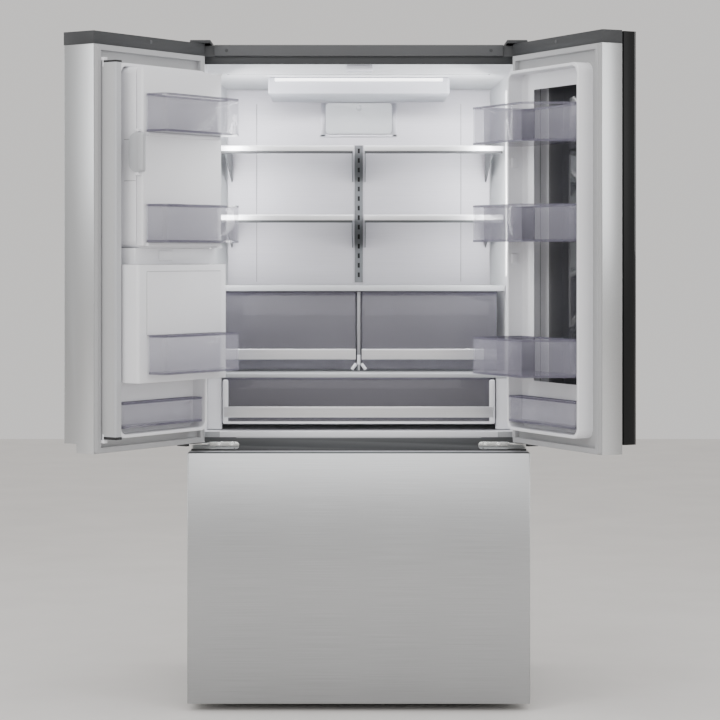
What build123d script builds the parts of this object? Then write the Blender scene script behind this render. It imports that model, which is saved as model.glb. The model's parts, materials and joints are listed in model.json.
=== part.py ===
from build123d import *
import os

# French door refrigerator, millimetres. X to the right, Y to the rear, Z up.
# Origin: floor level, middle of the width, in the plane of the closed door fronts.

# ---- driving dimensions -------------------------------------------------------------------
WIDTH = 908.0                 # across the closed doors and the freezer drawer front
HALF = WIDTH / 2
DOOR_T = 100.0                # thickness of doors and freezer front
DOOR_BOTTOM = 706.0
DOOR_TOP = 1774.0
GRIP_Z = 729.0                # front part of the doors ends here, above a finger pocket
GRIP_Y = 42.0                 # depth of that front part
CAP_Z = 1741.0                # dark cap along the door top starts here
DOOR_GAP = 2.0                # from the middle of the width to each door
LEFT_OPEN = 124.35            # degrees the left door stands open
RIGHT_OPEN = 115.84           # degrees the right door stands open
PIVOT_X = HALF - 15.0         # door hinge axes
PIVOT_Y = 78.5
FREEZER_BOTTOM = 20.0
FREEZER_TOP = 683.0

FRAME_Y = 112.0               # front plane of the cabinet
CASE_HALF = 452.0
CASE_REAR = 728.0
CASE_BOTTOM = 40.0
CASE_TOP = 1772.0
SHEET = 1.5                   # case sheet

CAVITY_FRONT = 416.0          # half width of the fresh food room at its mouth
CAVITY_BACK = 389.0           # and at its back wall
CAVITY_REAR = 676.0
CAVITY_FLOOR = 731.0
CAVITY_TOP = 1722.0           # top of the mouth
CEILING_Z = 1706.0            # ceiling behind the mouth
LINER = 3.0                   # wall of the moulded liners

SHELF_FRONT = 290.0
SHELF_REAR = 662.0
SHELF_HALF = 396.0
UPPER_SHELF = 1510.0
MIDDLE_SHELF = 1318.0
CRISPER_TOP = 1122.0          # top of the crisper cover glass
GLASS = 4.0
TRIM_H = 14.0
CENTRE_GAP = 14.0             # half of the gap between left and right shelves

CRISPER_HALF = 384.0
CRISPER_Z = (889.0, 1106.0)
PANTRY_HALF = 370.0
PANTRY_Z = (748.0, 872.0)
PANTRY_FRONT = 168.0
DECK_FRONT = 172.0            # front edge of the deck between the crispers and the pantry drawer
CLEAR = 3.0                   # wall of the clear bins

BAR_REACH = 6.0               # drawer handle bars stand this far off their drawers

PIN_R = 6.0                   # door hinge pins
RUN = 0.05                    # radial running clearance of pins
FLAP_PIN_R = 3.0              # pins of the mullion flap and the ice room door
LATCH_PIN_R = 2.0
PADDLE_PIN_R = 2.5
BOLT_X = (342.0, 377.0)       # bolts of the lower hinge brackets
BOLT_Z = 695.0
BOLT_R = 3.0

DOOR_X = (-HALF, -DOOR_GAP)   # left door, closed
SKIN = 2.0                    # steel wrap of doors and drawer front
DIKE_LEFT = (-411.7, -50.7)   # moulded rim inside the left door
DIKE_RIGHT = (47.7, 411.7)
DIKE_Z = (744.0, 1695.0)
DIKE_REAR = 143.0
DIKE_WALL = 9.0
GASKET_W = 14.0
GASKET_REAR = 111.4
GASKET_Z = (708.0, 1739.0)
FLAP_X = -23.0                # mullion flap axis
FLAP_Y = 115.0
FLAP_Z = (742.0, 1698.0)

ICE_X = (-402.0, -73.7)       # ice room box on the left door
ICE_REAR = 178.5
ICE_Z = (1226.0, 1686.0)
ICE_DOOR_Y = (179.0, 201.0)
ICE_PIVOT_X = ICE_X[0] + 11
ICE_PIVOT_Y = 190.0           # also the depth of the latch pin
LATCH_X = ICE_X[1] + 7
LATCH_Z = (1417.0, 1517.5)
LEFT_BASKET_X = (-390.7, -80.7)
BASKET_REAR = 269.0
HOUSING_Z = (885.0, 1184.0)   # dispenser housing
HOUSING_REAR = 208.0
TUB_X = (-320.0, -166.0)      # dispenser tub
TUB_Z = (1048.0, 1352.0)
TUB_REAR = 72.0
PADDLE_X = -243.0
PADDLE_Y = 52.0
PADDLE_Z = 1232.0

GLASS_REAR = 37.0             # front glass assembly of the right door
GLASS_TOP = 1772.0
GLASS_RIM = 24.0              # width of the black frame behind the glass
STEEL_FRONT = 41.0            # steel body behind it
RECESS_FLOOR = 46.0           # floor of the deep recess inside the right door
WINDOW_X = (117.0, 342.0)
WINDOW_Z = (876.0, 1644.0)
RIGHT_BASKET_X = (63.7, 398.7)
RIGHT_BASKET_TAPER = (122.7, 375.7)
RIGHT_BASKET_REAR = 264.0

GRIP_DEEP = (28.0, 72.0)      # hand pocket in the top of the freezer front
GRIP_FLOOR = 655.0
FREEZER_BIN_TOP = 556.0

VALVE_X = 372.0               # water inlet
VALVE_Z = 130.0
VALVE_STUB_R = 5.55
ROLLER_X = 400.0
ROLLER_Y = 665.0
ROLLER_R = 17.0
AXLE_R = 4.0
LEG_X = 395.0
LEG_Y = 134.0
COMPRESSOR_X = -250.0
COMPRESSOR_Y = 625.0
COMPRESSOR_R = 80.0
FAN_SPOT = (-60.0, 630.0, 140.0)
EVAPORATOR_FAN_SPOT = (0.0, 625.0, 622.0)
EVAPORATOR_HALF = 252.0


# ---- helpers ------------------------------------------------------------------------------
def block(x, y, z):
    """Box between the low and high value along each axis."""
    centre = Pos((x[0] + x[1]) / 2, (y[0] + y[1]) / 2, (z[0] + z[1]) / 2)
    return centre * Box(x[1] - x[0], y[1] - y[0], z[1] - z[0])


def post(x, y, z, radius):
    """Upright cylinder between two heights."""
    return Pos(x, y, (z[0] + z[1]) / 2) * Cylinder(radius, z[1] - z[0])


def barrel(centre, radius, length, axis):
    """Cylinder lying along X or Y."""
    turn = Rot(0, 90, 0) if axis == "X" else Rot(90, 0, 0)
    return Pos(*centre) * turn * Cylinder(radius, length)


def prism(points, along):
    """Flat outline pushed along a vector."""
    face = make_face(Polyline(*points, close=True))
    push = Vector(*along)
    return extrude(face, amount=push.length, dir=push.normalized())


def plan_prism(points, z):
    """Outline in plan between two heights."""
    return prism([(x, y, z[0]) for x, y in points], (0, 0, z[1] - z[0]))


def side_prism(points, x):
    """Outline in side view, as (y, z), between two X values."""
    return prism([(x[0], y, z) for y, z in points], (x[1] - x[0], 0, 0))


def other_side(shape):
    """The same piece on the other side of the middle."""
    return mirror(shape, about=Plane.YZ)


def group(*shapes):
    """Separate solids kept together as one node."""
    return Compound([solid for shape in shapes for solid in shape.solids()])


def pair(shape):
    """A piece and its mirror image."""
    return group(shape, other_side(shape))


def round_upright(shape, radius):
    """Round every edge that runs along Z."""
    return fillet(shape.edges().filter_by(Axis.Z), radius)


def tray(x, y, z, wall, radius=0.0):
    """Open-topped bin, with its upright corners rounded."""
    outer = block(x, y, z)
    inner = block((x[0] + wall, x[1] - wall), (y[0] + wall, y[1] - wall), (z[0] + wall, z[1] + 1))
    if radius:
        outer = round_upright(outer, radius)
        inner = round_upright(inner, radius - wall)
    return outer - inner


def open_left(shape):
    """Swing a left door piece from closed to its open place."""
    return shape.rotate(Axis((-PIVOT_X, PIVOT_Y, 0), (0, 0, 1)), -LEFT_OPEN)


def open_right(shape):
    """Swing a right door piece from closed to its open place."""
    return shape.rotate(Axis((PIVOT_X, PIVOT_Y, 0), (0, 0, 1)), RIGHT_OPEN)


def save(name, shape):
    """Write one node."""
    export_step(shape, f"parts/{name}.step")


def save_all(nodes):
    """Write a dictionary of nodes."""
    for name, shape in nodes.items():
        save(name, shape)


# ---- cabinet ------------------------------------------------------------------------------
def wall_x(y):
    """Half width of the fresh food room at a depth."""
    slope = (CAVITY_FRONT - CAVITY_BACK) / (CAVITY_REAR - FRAME_Y)
    return CAVITY_FRONT - slope * (y - FRAME_Y)


def outer_case():
    """Sheet steel sides and top, each a panel of its own."""
    y = (FRAME_Y + SHEET, CASE_REAR)
    side = block((CASE_HALF - SHEET, CASE_HALF), y, (CASE_BOTTOM, CASE_TOP - SHEET))
    top = block((-CASE_HALF, CASE_HALF), y, (CASE_TOP - SHEET, CASE_TOP))
    return group(side, other_side(side), top)


def rear_covers():
    """Rear panel, and the vented cover over the machine room."""
    panel = block((-CASE_HALF, CASE_HALF), (CASE_REAR, CASE_REAR + 2), (322, CASE_TOP))
    cover = block((-440, 440), (CASE_REAR, CASE_REAR + 3), (44, 320))
    slot = block((-5, 5), (CASE_REAR - 1, CASE_REAR + 4), (0, 60))
    for row_z in (80, 180):
        for step in range(-9, 10):
            cover -= Pos(step * 34, 0, row_z) * slot
    cover -= barrel((VALVE_X, CASE_REAR + 1, VALVE_Z), 16, 10, "Y")
    return group(panel, cover)


def base_pan():
    """Floor of the machine room with the roller brackets."""
    pan = block((-450, 450), (116, 726), (36, CASE_BOTTOM))
    for side in (-1, 1):
        for offset in (-19, 19):
            x = side * ROLLER_X + offset
            ear = block((x - 1.5, x + 1.5), (ROLLER_Y - 14, ROLLER_Y + 14), (8, 36))
            pan += ear - barrel((x, ROLLER_Y, ROLLER_R), AXLE_R + RUN, 10, "X")
    return pan


def rear_rollers():
    """Two rear rollers with their axles."""
    rollers = []
    for side in (-1, 1):
        centre = (side * ROLLER_X, ROLLER_Y, ROLLER_R)
        wheel = barrel(centre, ROLLER_R, 28, "X")
        wheel = fillet(wheel.edges().filter_by(GeomType.CIRCLE), 2)
        rollers.append(wheel + barrel(centre, AXLE_R, 46, "X"))
    return group(*rollers)


def front_feet():
    """Levelling legs and front glides."""
    leg = post(LEG_X, LEG_Y, (0, 10), 17) + post(LEG_X, LEG_Y, (10, 36), 7)
    glide = block((335, 365), (120, 160), (0, 36))
    glide = fillet(glide.edges().filter_by(Axis.X), 5)
    return pair(group(leg, glide))


def front_frame():
    """Steel face frame around both rooms."""
    frame = block((-CASE_HALF, CASE_HALF), (FRAME_Y, FRAME_Y + SHEET), (60, CASE_TOP))
    y = (FRAME_Y - 1, FRAME_Y + 3)
    frame -= block((-CAVITY_FRONT, CAVITY_FRONT), y, (674, CAVITY_TOP))
    return frame - block((-402, 402), y, (72, 675))


def cross_rail():
    """Rail between the two rooms, drilled for the lower hinge bolts."""
    rail = block((-CAVITY_FRONT, CAVITY_FRONT), (FRAME_Y, 150), (677, 717))
    for x in BOLT_X:
        for side in (-1, 1):
            rail -= barrel((side * x, FRAME_Y + 7, BOLT_Z), BOLT_R, 15, "Y")
    return rail


def top_trim_bar():
    """Bar across the top of the cabinet front, between the hinge covers."""
    bar = block((-389, 389), (103, FRAME_Y), (1743, 1774))
    return fillet(bar.edges().filter_by(Axis.X).group_by(Axis.Y)[0], 3)


def hinge_covers():
    """Lids over the upper hinges."""
    over_door = block((396, 452), (68, 232), (1774.8, 1784))
    over_case = block((396, 452), (114, 232), (CASE_TOP, 1784))
    lid = over_door + over_case
    lid = fillet(lid.edges().group_by(Axis.Z)[-1], 3)
    lid -= block((399, 449), (71, 229), (1771, 1781.5))
    return pair(lid)


def door_hinges():
    """Upper hinge arms and lower hinge brackets, with their pins."""
    arm = block((422, 448), (76, 215), (1775.5, 1778.5)) + block((422, 448), (122, 215), (CASE_TOP, 1776))
    arm += post(PIVOT_X, PIVOT_Y, (1752, 1776), PIN_R)
    flange = block((330, 452), (109, FRAME_Y), (686, 704)) + block((404, 452), (70, 110), (699, 704))
    for x in BOLT_X:
        flange -= barrel((x, 110, BOLT_Z), BOLT_R, 8, "Y")
    flange += post(PIVOT_X, PIVOT_Y, (703, 722), PIN_R)
    return group(pair(arm), pair(flange))


def hinge_bolts():
    """Hexagon bolts of the lower hinges."""
    bolts = []
    for x in BOLT_X:
        head = Pos(x, 107, BOLT_Z) * Rot(90, 0, 0) * extrude(RegularPolygon(6.5, 6), 2, both=True)
        bolts.append(head + barrel((x, 115, BOLT_Z), BOLT_R, 14, "Y"))
    return pair(group(*bolts))


def room(offset):
    """Space of the fresh food room, grown outwards by an offset."""
    y0 = FRAME_Y + SHEET if offset else FRAME_Y
    y1 = CAVITY_REAR + offset
    half0 = wall_x(y0) + offset
    half1 = wall_x(y1) + offset
    plan = plan_prism([(-half0, y0), (half0, y0), (half1, y1), (-half1, y1)], (700, 1760))
    floor_z = CAVITY_FLOOR - offset
    top = CAVITY_TOP + offset
    ceiling = CEILING_Z + offset
    sill = [(y0, floor_z), (y1, floor_z), (y1, ceiling - 10), (200, ceiling), (150, top), (y0, top)]
    return plan & side_prism(sill, (-500, 500))


def fridge_liner():
    """White moulded liner of the fresh food room, with its front lip."""
    lip = block((-415.8, 415.8), (FRAME_Y, 116), (717.2, CAVITY_FLOOR))
    return room(LINER) + lip - room(0)


def freezer_liner():
    """Liner of the freezer, stepped over the machine room."""
    outer = [(113.5, 69), (518, 69), (518, 327), (658, 327), (658, 677), (113.5, 677)]
    inner = [(113, 72), (515, 72), (515, 330), (655, 330), (655, 674), (113, 674)]
    return side_prism(outer, (-405, 405)) - side_prism(inner, (-402, 402))


def duct_panels():
    """Metal back wall of the fresh food room and the slotted air panel of the freezer."""
    back = block((-384, 384), (671, 675.5), (740, 1692))
    air = block((-390, 390), (590, 593), (334, 670))
    slot = block((-40, 40), (588, 595), (0, 8))
    for step in range(6):
        air -= Pos(0, 0, 585 + step * 14) * slot
    return group(back, air)


def filter_cover():
    """Air filter cover with a finger notch."""
    cover = block((-97, 97), (660, 671), (1564, 1654))
    cover = fillet(cover.edges().filter_by(Axis.Y), 10)
    return cover - Pos(0, 660, 1640) * Sphere(9)


def ceiling_fittings():
    """Ceiling duct box, and the guide that turns the mullion flap."""
    duct = side_prism([(312, 1657), (668, 1657), (668, 1695.5), (312, 1703)], (-253, 253))
    duct = fillet(duct.edges().filter_by(Axis.Z), 8)
    guide = block((-34, 38), (121, 149), (1703, 1721.5))
    return group(duct, guide)


def lamp_lenses():
    """Lamp strip on the ceiling duct and the upright lamps on the side walls."""
    strip = block((-233, 233), (307, 312), (1692, 1700))
    y0, y1 = 236, 262
    outline = [(wall_x(y0) - 4, y0), (wall_x(y0), y0), (wall_x(y1), y1), (wall_x(y1) - 4, y1)]
    return group(strip, pair(plan_prism(outline, (1150, 1660))))


def shelf_supports():
    """Slotted rails on the back wall and the cantilever brackets that hang on them."""
    rail = block((-12, 12), (665, 671), (1128, 1530))
    slot = block((-3, 3), (664, 672), (-7, 7))
    for step in range(14):
        rail -= Pos(0, 0, 1150 + step * 28) * slot
    pieces = [rail]
    for top in (UPPER_SHELF, MIDDLE_SHELF):
        z = top - TRIM_H
        side = [(664, z - 74), (664, z + 9), (304, z + 9), (304, z - 2)]
        for x in (-374, -20, 17, 371):
            pieces.append(side_prism(side, (x, x + 3)))
    return group(*pieces)


def half_shelf(top):
    """One glass shelf on the right side, behind its trim."""
    y0, y1 = SHELF_FRONT + 12, SHELF_REAR
    outline = [(CENTRE_GAP, y0), (wall_x(y0) - 6, y0), (wall_x(y1) - 6, y1), (CENTRE_GAP, y1)]
    return plan_prism(outline, (top - GLASS, top))


def shelf_glass():
    """Left and right glass of the upper and middle shelves."""
    return group(pair(half_shelf(UPPER_SHELF)), pair(half_shelf(MIDDLE_SHELF)))


def shelf_trims():
    """Front trims of the four half shelves."""
    trims = []
    for top in (UPPER_SHELF, MIDDLE_SHELF):
        y = (SHELF_FRONT - 4, SHELF_FRONT + 12)
        trim = block((CENTRE_GAP, wall_x(SHELF_FRONT) - 6), y, (top - TRIM_H, top + 1))
        trims.append(pair(fillet(trim.edges().filter_by(Axis.X).group_by(Axis.Y)[0], 2)))
    return group(*trims)


def crisper_cover():
    """Glass over the crispers."""
    y0, y1 = SHELF_FRONT + 14, SHELF_REAR
    half0, half1 = wall_x(y0) - 5, wall_x(y1) - 5
    outline = [(-half0, y0), (half0, y0), (half1, y1), (-half1, y1)]
    return plan_prism(outline, (CRISPER_TOP - GLASS, CRISPER_TOP))


def crisper_frame():
    """Frame of the crispers: front bar, divider and the deck that reaches out over the pantry drawer."""
    half = wall_x(SHELF_FRONT) - 3
    bar = block((-half, half), (SHELF_FRONT - 4, SHELF_FRONT + 14), (1108, CRISPER_TOP + 2))
    divider = block((-3, 3), (SHELF_FRONT, SHELF_REAR), (887, 1108))
    deck = block((-half, half), (SHELF_FRONT - 2, SHELF_FRONT + 14), (875, 887))
    y0, y1 = SHELF_FRONT + 10, SHELF_REAR
    shade = [(-wall_x(y0) + 3, y0), (wall_x(y0) - 3, y0), (wall_x(y1) - 3, y1), (-wall_x(y1) + 3, y1)]
    deck += plan_prism(shade, (882, 887))
    half0, half1 = wall_x(DECK_FRONT) - 1, wall_x(y0) - 1
    apron = [(-half0, DECK_FRONT), (half0, DECK_FRONT), (half1, y0), (-half1, y0)]
    return bar + divider + deck + plan_prism(apron, (874, 884))


def pantry_guides():
    """Rails on the side walls that carry the pantry drawer."""
    y0, y1 = 185, 655
    outline = [(PANTRY_HALF + 2, y0), (wall_x(y0), y0), (wall_x(y1), y1), (PANTRY_HALF + 2, y1)]
    return pair(plan_prism(outline, (744, 790)))


# ---- machine room and freezer air -----------------------------------------------------------
def compressor():
    """Compressor shell on its foot plate."""
    x, y = COMPRESSOR_X, COMPRESSOR_Y
    shell = post(x, y, (58, 225), COMPRESSOR_R)
    shell = fillet(shell.edges().filter_by(GeomType.CIRCLE), 26)
    plate = block((x - 95, x + 95), (y - 80, y + 80), (CASE_BOTTOM, 46))
    legs = [post(x + dx, y + dy, (45, 62), 10) for dx in (-50, 50) for dy in (-50, 50)]
    pipe = barrel((x + COMPRESSOR_R + 8, y, 150), 5, 40, "X")
    return plate + legs + shell + pipe


def condenser():
    """Condenser block: end plates, fins and three tube rows."""
    y, z = (550, 700), (50, 240)
    coil = block((40, 43), y, z) + block((297, 300), y, z)
    for row_y in (580, 625, 670):
        for row_z in (80, 145, 210):
            coil += barrel((170, row_y, row_z), 5, 256, "X")
    for step in range(12):
        x = 60 + step * 19
        coil += block((x, x + 1.5), (555, 695), (60, 230))
    return coil + block((36, 304), (545, 705), (CASE_BOTTOM, 50))


def fan(radius, depth):
    """Five-bladed fan about Z."""
    wheel = Cylinder(radius * 0.3, depth)
    blade = Pos(radius * 0.6, 0, 0) * Rot(32, 0, 0) * Box(radius * 0.8, radius * 0.5, 2)
    for step in range(5):
        wheel += Rot(0, 0, step * 72) * blade
    return wheel


def condenser_fan():
    """Fan between the compressor and the condenser."""
    return Pos(*FAN_SPOT) * Rot(0, 90, 0) * fan(62, 22)


def evaporator_fan():
    """Fan that pushes cold air up the duct."""
    return Pos(*EVAPORATOR_FAN_SPOT) * Rot(90, 0, 0) * fan(38, 16)


def evaporator():
    """Finned evaporator behind the freezer air panel."""
    half = EVAPORATOR_HALF
    coil = block((-half, 2 - half), (600, 650), (345, 550)) + block((half - 2, half), (600, 650), (345, 550))
    for row_z in (375, 430, 485, 535):
        coil += barrel((0, 625, row_z), 5, 2 * half - 2, "X")
    for step in range(20):
        x = 24 * (step - 9.5)
        coil += block((x - 0.75, x + 0.75), (604, 648), (360, 545))
    return coil


def water_valve():
    """Inlet valve with its threaded stub through the rear cover."""
    body = block((VALVE_X - 22, VALVE_X + 22), (660, 712), (VALVE_Z - 20, VALVE_Z + 20))
    body += block((VALVE_X - 15, VALVE_X + 15), (670, 700), (CASE_BOTTOM, VALVE_Z - 20))
    return body + barrel((VALVE_X, 725, VALVE_Z), VALVE_STUB_R, 30, "Y")


# ---- doors, built closed and on their own side ------------------------------------------------
def door_outline(x, y_front):
    """Full door block with the finger pocket cut under its front part."""
    door = block(x, (y_front, DOOR_T), (DOOR_BOTTOM, CAP_Z))
    if y_front < GRIP_Y:
        door -= block((x[0] - 1, x[1] + 1), (-1, GRIP_Y), (DOOR_BOTTOM - 1, GRIP_Z))
    return door


def bored_cap(cap, z, bore_z):
    """Add the hinge boss to a cap and bore it for its pin."""
    cap += post(-PIVOT_X, PIVOT_Y, z, 12)
    return cap - post(-PIVOT_X, PIVOT_Y, bore_z, PIN_R + RUN)


def door_caps(side, y_front):
    """Dark caps that close a door at its top and bottom, with hinge bushes and the stop."""
    x = DOOR_X
    inner = (x[0] + SKIN, x[1] - SKIN)
    top = block(x, (y_front, DOOR_T), (CAP_Z, DOOR_TOP))
    top -= block((x[0] + 4, x[1] - 4), (y_front + 4, DOOR_T - 4), (CAP_Z - 1, DOOR_TOP - 4))
    top = bored_cap(top, (CAP_Z, DOOR_TOP), (CAP_Z + 9, DOOR_TOP + 1))
    wall_y = max(GRIP_Y, y_front + SKIN)
    low = block(inner, (wall_y + 2, DOOR_T - 4), (DOOR_BOTTOM, DOOR_BOTTOM + 6))
    low += block(inner, (wall_y, wall_y + 3), (DOOR_BOTTOM, GRIP_Z + 4))
    if y_front < GRIP_Y:
        low += block(inner, (y_front + SKIN, wall_y + 2), (GRIP_Z, GRIP_Z + 4))
    low = bored_cap(low, (DOOR_BOTTOM, 726), (DOOR_BOTTOM - 1, 724))
    low += block((-395, -383), (62, 94), (699, DOOR_BOTTOM))
    caps = group(top, low)
    return caps if side < 0 else other_side(caps)


def dike(x):
    """Moulded rim standing off the inner face of a door."""
    outer = block(x, (DOOR_T - 1, DIKE_REAR), DIKE_Z)
    outer = fillet(outer.edges().filter_by(Axis.Y), 26)
    inner_x = (x[0] + DIKE_WALL, x[1] - DIKE_WALL)
    inner = block(inner_x, (DOOR_T, DIKE_REAR + 1), (DIKE_Z[0] + DIKE_WALL, DIKE_Z[1] - DIKE_WALL))
    rim = outer - fillet(inner.edges().filter_by(Axis.Y), 20)
    return fillet(rim.faces().sort_by(Axis.Y)[-1].edges(), 3)


def gasket(x):
    """Magnetic seal around the inner face of a door."""
    hole_x = (x[0] + GASKET_W, x[1] - GASKET_W)
    hole_z = (GASKET_Z[0] + GASKET_W, GASKET_Z[1] - GASKET_W)
    return block(x, (DOOR_T, GASKET_REAR), GASKET_Z) - block(hole_x, (DOOR_T - 1, GASKET_REAR + 1), hole_z)


def left_door_skin():
    """Steel wrap of the left door, cut out for the dispenser."""
    skin = door_outline(DOOR_X, 0)
    skin = fillet(skin.edges().filter_by(Axis.Z).group_by(Axis.Y)[0], 4)
    inner = (DOOR_X[0] + SKIN, DOOR_X[1] - SKIN)
    skin -= block(inner, (SKIN, DOOR_T + 1), (DOOR_BOTTOM - 1, CAP_Z + 1))
    return skin - block((-312, -174), (-1, SKIN + 1), (1056, 1344))


def flap_knuckles():
    """Brackets and pins on the left liner that carry the mullion flap."""
    arm = block((-32, -19), (DOOR_T - 1, 120), (0, 8))
    low = Pos(0, 0, 733) * arm + post(FLAP_X, FLAP_Y, (740, 756), FLAP_PIN_R)
    high = Pos(0, 0, 1699) * arm + post(FLAP_X, FLAP_Y, (1683, 1700), FLAP_PIN_R)
    return low + high


def left_door_liner():
    """White inner panel of the left door with its rim and the flap brackets."""
    panel = block((-452, -4), (DOOR_T - 4, DOOR_T), (DOOR_BOTTOM, CAP_Z))
    low, high = flap_knuckles().solids()
    return panel + dike(DIKE_LEFT) + low + high


def mullion_flap():
    """Folding flap that closes the gap between the doors; shown folded back."""
    flap = block((-43, -21), (104, 158), FLAP_Z)
    flap = fillet(flap.edges().filter_by(Axis.Z), 3)
    for z in ((FLAP_Z[0] - 1, FLAP_Z[0] + 15), (FLAP_Z[1] - 16, FLAP_Z[1] + 1)):
        flap -= post(FLAP_X, FLAP_Y, z, FLAP_PIN_R + RUN)
    return flap


def ice_box():
    """Insulated box of the ice room, open towards its door, with the hinge pins."""
    box = block(ICE_X, (DOOR_T, ICE_REAR), ICE_Z)
    box = fillet(box.edges().filter_by(Axis.Y), 22)
    box -= block((ICE_X[0] + 8, ICE_X[1] - 8), (DOOR_T + 4, 180), (ICE_Z[0] + 8, ICE_Z[1] - 8))
    low, high = ICE_Z
    for z, pin_z in ((low, (low + 4, low + 18)), (high - 5, (high - 18, high - 4))):
        box += block((ICE_X[0], ICE_X[0] + 22), (170, 200), (z, z + 5))
        box += post(ICE_PIVOT_X, ICE_PIVOT_Y, pin_z, FLAP_PIN_R)
    return box


def ice_door():
    """Door of the ice room, rounded about its hinge, with ears for the latch."""
    z = (ICE_Z[0] + 5.5, ICE_Z[1] - 5.5)
    leaf = block((ICE_PIVOT_X, ICE_X[1]), ICE_DOOR_Y, z) + post(ICE_PIVOT_X, ICE_PIVOT_Y, z, 11)
    leaf = fillet(leaf.edges().filter_by(Axis.Z).group_by(Axis.X)[-1], 5)
    for bore_z in ((z[0] - 1, z[0] + 14), (z[1] - 14, z[1] + 1)):
        leaf -= post(ICE_PIVOT_X, ICE_PIVOT_Y, bore_z, FLAP_PIN_R + RUN)
    for ear_z, pin_z in ((1409, (1412, 1424)), (1519, (1511, 1521))):
        leaf += block((ICE_X[1] - 6, ICE_X[1] + 11), (184, 196), (ear_z, ear_z + 7))
        leaf += post(LATCH_X, ICE_PIVOT_Y, pin_z, LATCH_PIN_R)
    return leaf


def ice_latch():
    """Lever on the free edge of the ice room door."""
    lever = block((LATCH_X - 3.5, LATCH_X + 3.5), (163, 214), LATCH_Z)
    lever = fillet(lever.edges().filter_by(Axis.X), 6)
    return lever - post(LATCH_X, ICE_PIVOT_Y, (LATCH_Z[0] - 1, LATCH_Z[1] + 1), LATCH_PIN_R + RUN)


def ice_maker():
    """Ice mould and its motor above the bucket."""
    bucket = tray((-375, -120), (106, 168), (1240, 1420), 3)
    mould = block((-370, -150), (106, 160), (1560, 1600))
    for step in range(6):
        mould -= block((-363 + step * 35, -334 + step * 35), (112, 154), (1572, 1601))
    motor = block((-148, -112), (106, 160), (1540, 1620)) + block((-152, -140), (110, 156), (1562, 1598))
    return group(bucket, mould + motor)


def left_baskets():
    """Fixed baskets of the left door: on the dispenser housing and in the bottom recess."""
    middle = tray(LEFT_BASKET_X, (HOUSING_REAR + 0.3, BASKET_REAR), (907, 1005), CLEAR, 14)
    bottom = tray((-398, -64), (101, 141), (768, 832), CLEAR, 12)
    return group(middle, bottom)


def ice_door_baskets():
    """Two baskets that ride on the ice room door."""
    spots = ((1519, 1615), (1240, 1336))
    y = (ICE_DOOR_Y[1], BASKET_REAR)
    return group(*[tray(LEFT_BASKET_X, y, z, CLEAR, 14) for z in spots])


def dispenser_housing():
    """Moulded cover over the back of the dispenser."""
    wall = 4
    neck = block((-402, -60.2), (DOOR_T, 150), HOUSING_Z)
    bulge = block((-410.7, -47.7), (143.5, HOUSING_REAR), HOUSING_Z)
    bulge = fillet(bulge.edges().filter_by(Axis.Z).group_by(Axis.Y)[-1], 8)
    body = neck + bulge
    inner_z = (HOUSING_Z[0] + wall, HOUSING_Z[1] - wall)
    return body - block((-402 + wall, -60.2 - wall), (DOOR_T - 1, HOUSING_REAR - wall), inner_z)


def dispenser_recess():
    """Tub of the dispenser in the door front, with its spout block and paddle ears."""
    wall = 4
    tub = block(TUB_X, (SKIN, TUB_REAR), TUB_Z)
    inner_z = (TUB_Z[0] + wall, TUB_Z[1] - wall)
    tub -= block((TUB_X[0] + wall, TUB_X[1] - wall), (SKIN - 1, TUB_REAR - wall), inner_z)
    tub += block((PADDLE_X - 27, PADDLE_X + 27), (14, TUB_REAR - 2), (PADDLE_Z + 30, TUB_Z[1] - 2))
    for x in (PADDLE_X - 23, PADDLE_X + 17):
        tub += block((x, x + 6), (PADDLE_Y - 8, PADDLE_Y + 8), (PADDLE_Z - 6, PADDLE_Z + 32))
    return tub - barrel((PADDLE_X, PADDLE_Y, PADDLE_Z), PADDLE_PIN_R + RUN, 60, "X")


def dispenser_paddle():
    """Paddle that a glass pushes back."""
    plate = block((PADDLE_X - 15, PADDLE_X + 15), (PADDLE_Y - 2, PADDLE_Y + 2), (PADDLE_Z - 112, PADDLE_Z))
    plate = fillet(plate.edges().filter_by(Axis.Y).group_by(Axis.Z)[0], 10)
    return plate + barrel((PADDLE_X, PADDLE_Y, PADDLE_Z), PADDLE_PIN_R, 44, "X")


def right_door_skin():
    """Steel body of the right door, open in the middle for the window."""
    x = (-DOOR_X[1], -DOOR_X[0])
    skin = block(x, (STEEL_FRONT, DOOR_T), (DOOR_BOTTOM, CAP_Z))
    skin -= block((x[0] + SKIN, x[1] - SKIN), (STEEL_FRONT + SKIN, DOOR_T + 1), (DOOR_BOTTOM - 1, CAP_Z + 1))
    return skin - block(WINDOW_X, (STEEL_FRONT - 1, STEEL_FRONT + SKIN + 1), WINDOW_Z)


def right_door_glass():
    """Front glass over the whole door, and the window in the floor of the recess."""
    front = block((DOOR_GAP, HALF), (0, 5), (GRIP_Z, GLASS_TOP))
    front = fillet(front.edges().group_by(Axis.Y)[0], 1.5)
    lap = 8
    x = (WINDOW_X[0] - lap, WINDOW_X[1] + lap)
    y = (RECESS_FLOOR + 0.2, RECESS_FLOOR + 4)
    window = block(x, y, (WINDOW_Z[0] - lap, WINDOW_Z[1] + lap))
    return group(front, window)


def right_glass_frame():
    """Black frame behind the front glass and the recessed joint to the steel body."""
    x = (DOOR_GAP, HALF)
    z = (GRIP_Z, GLASS_TOP)
    step = 5
    rim = block(x, (5, GLASS_REAR), z)
    joint = block((x[0] + step, x[1] - step), (GLASS_REAR, STEEL_FRONT), (z[0] + 4, z[1] - 4))
    opening_z = (z[0] + GLASS_RIM, z[1] - GLASS_RIM)
    return rim + joint - block((x[0] + GLASS_RIM, x[1] - GLASS_RIM), (4, STEEL_FRONT + 1), opening_z)


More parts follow.
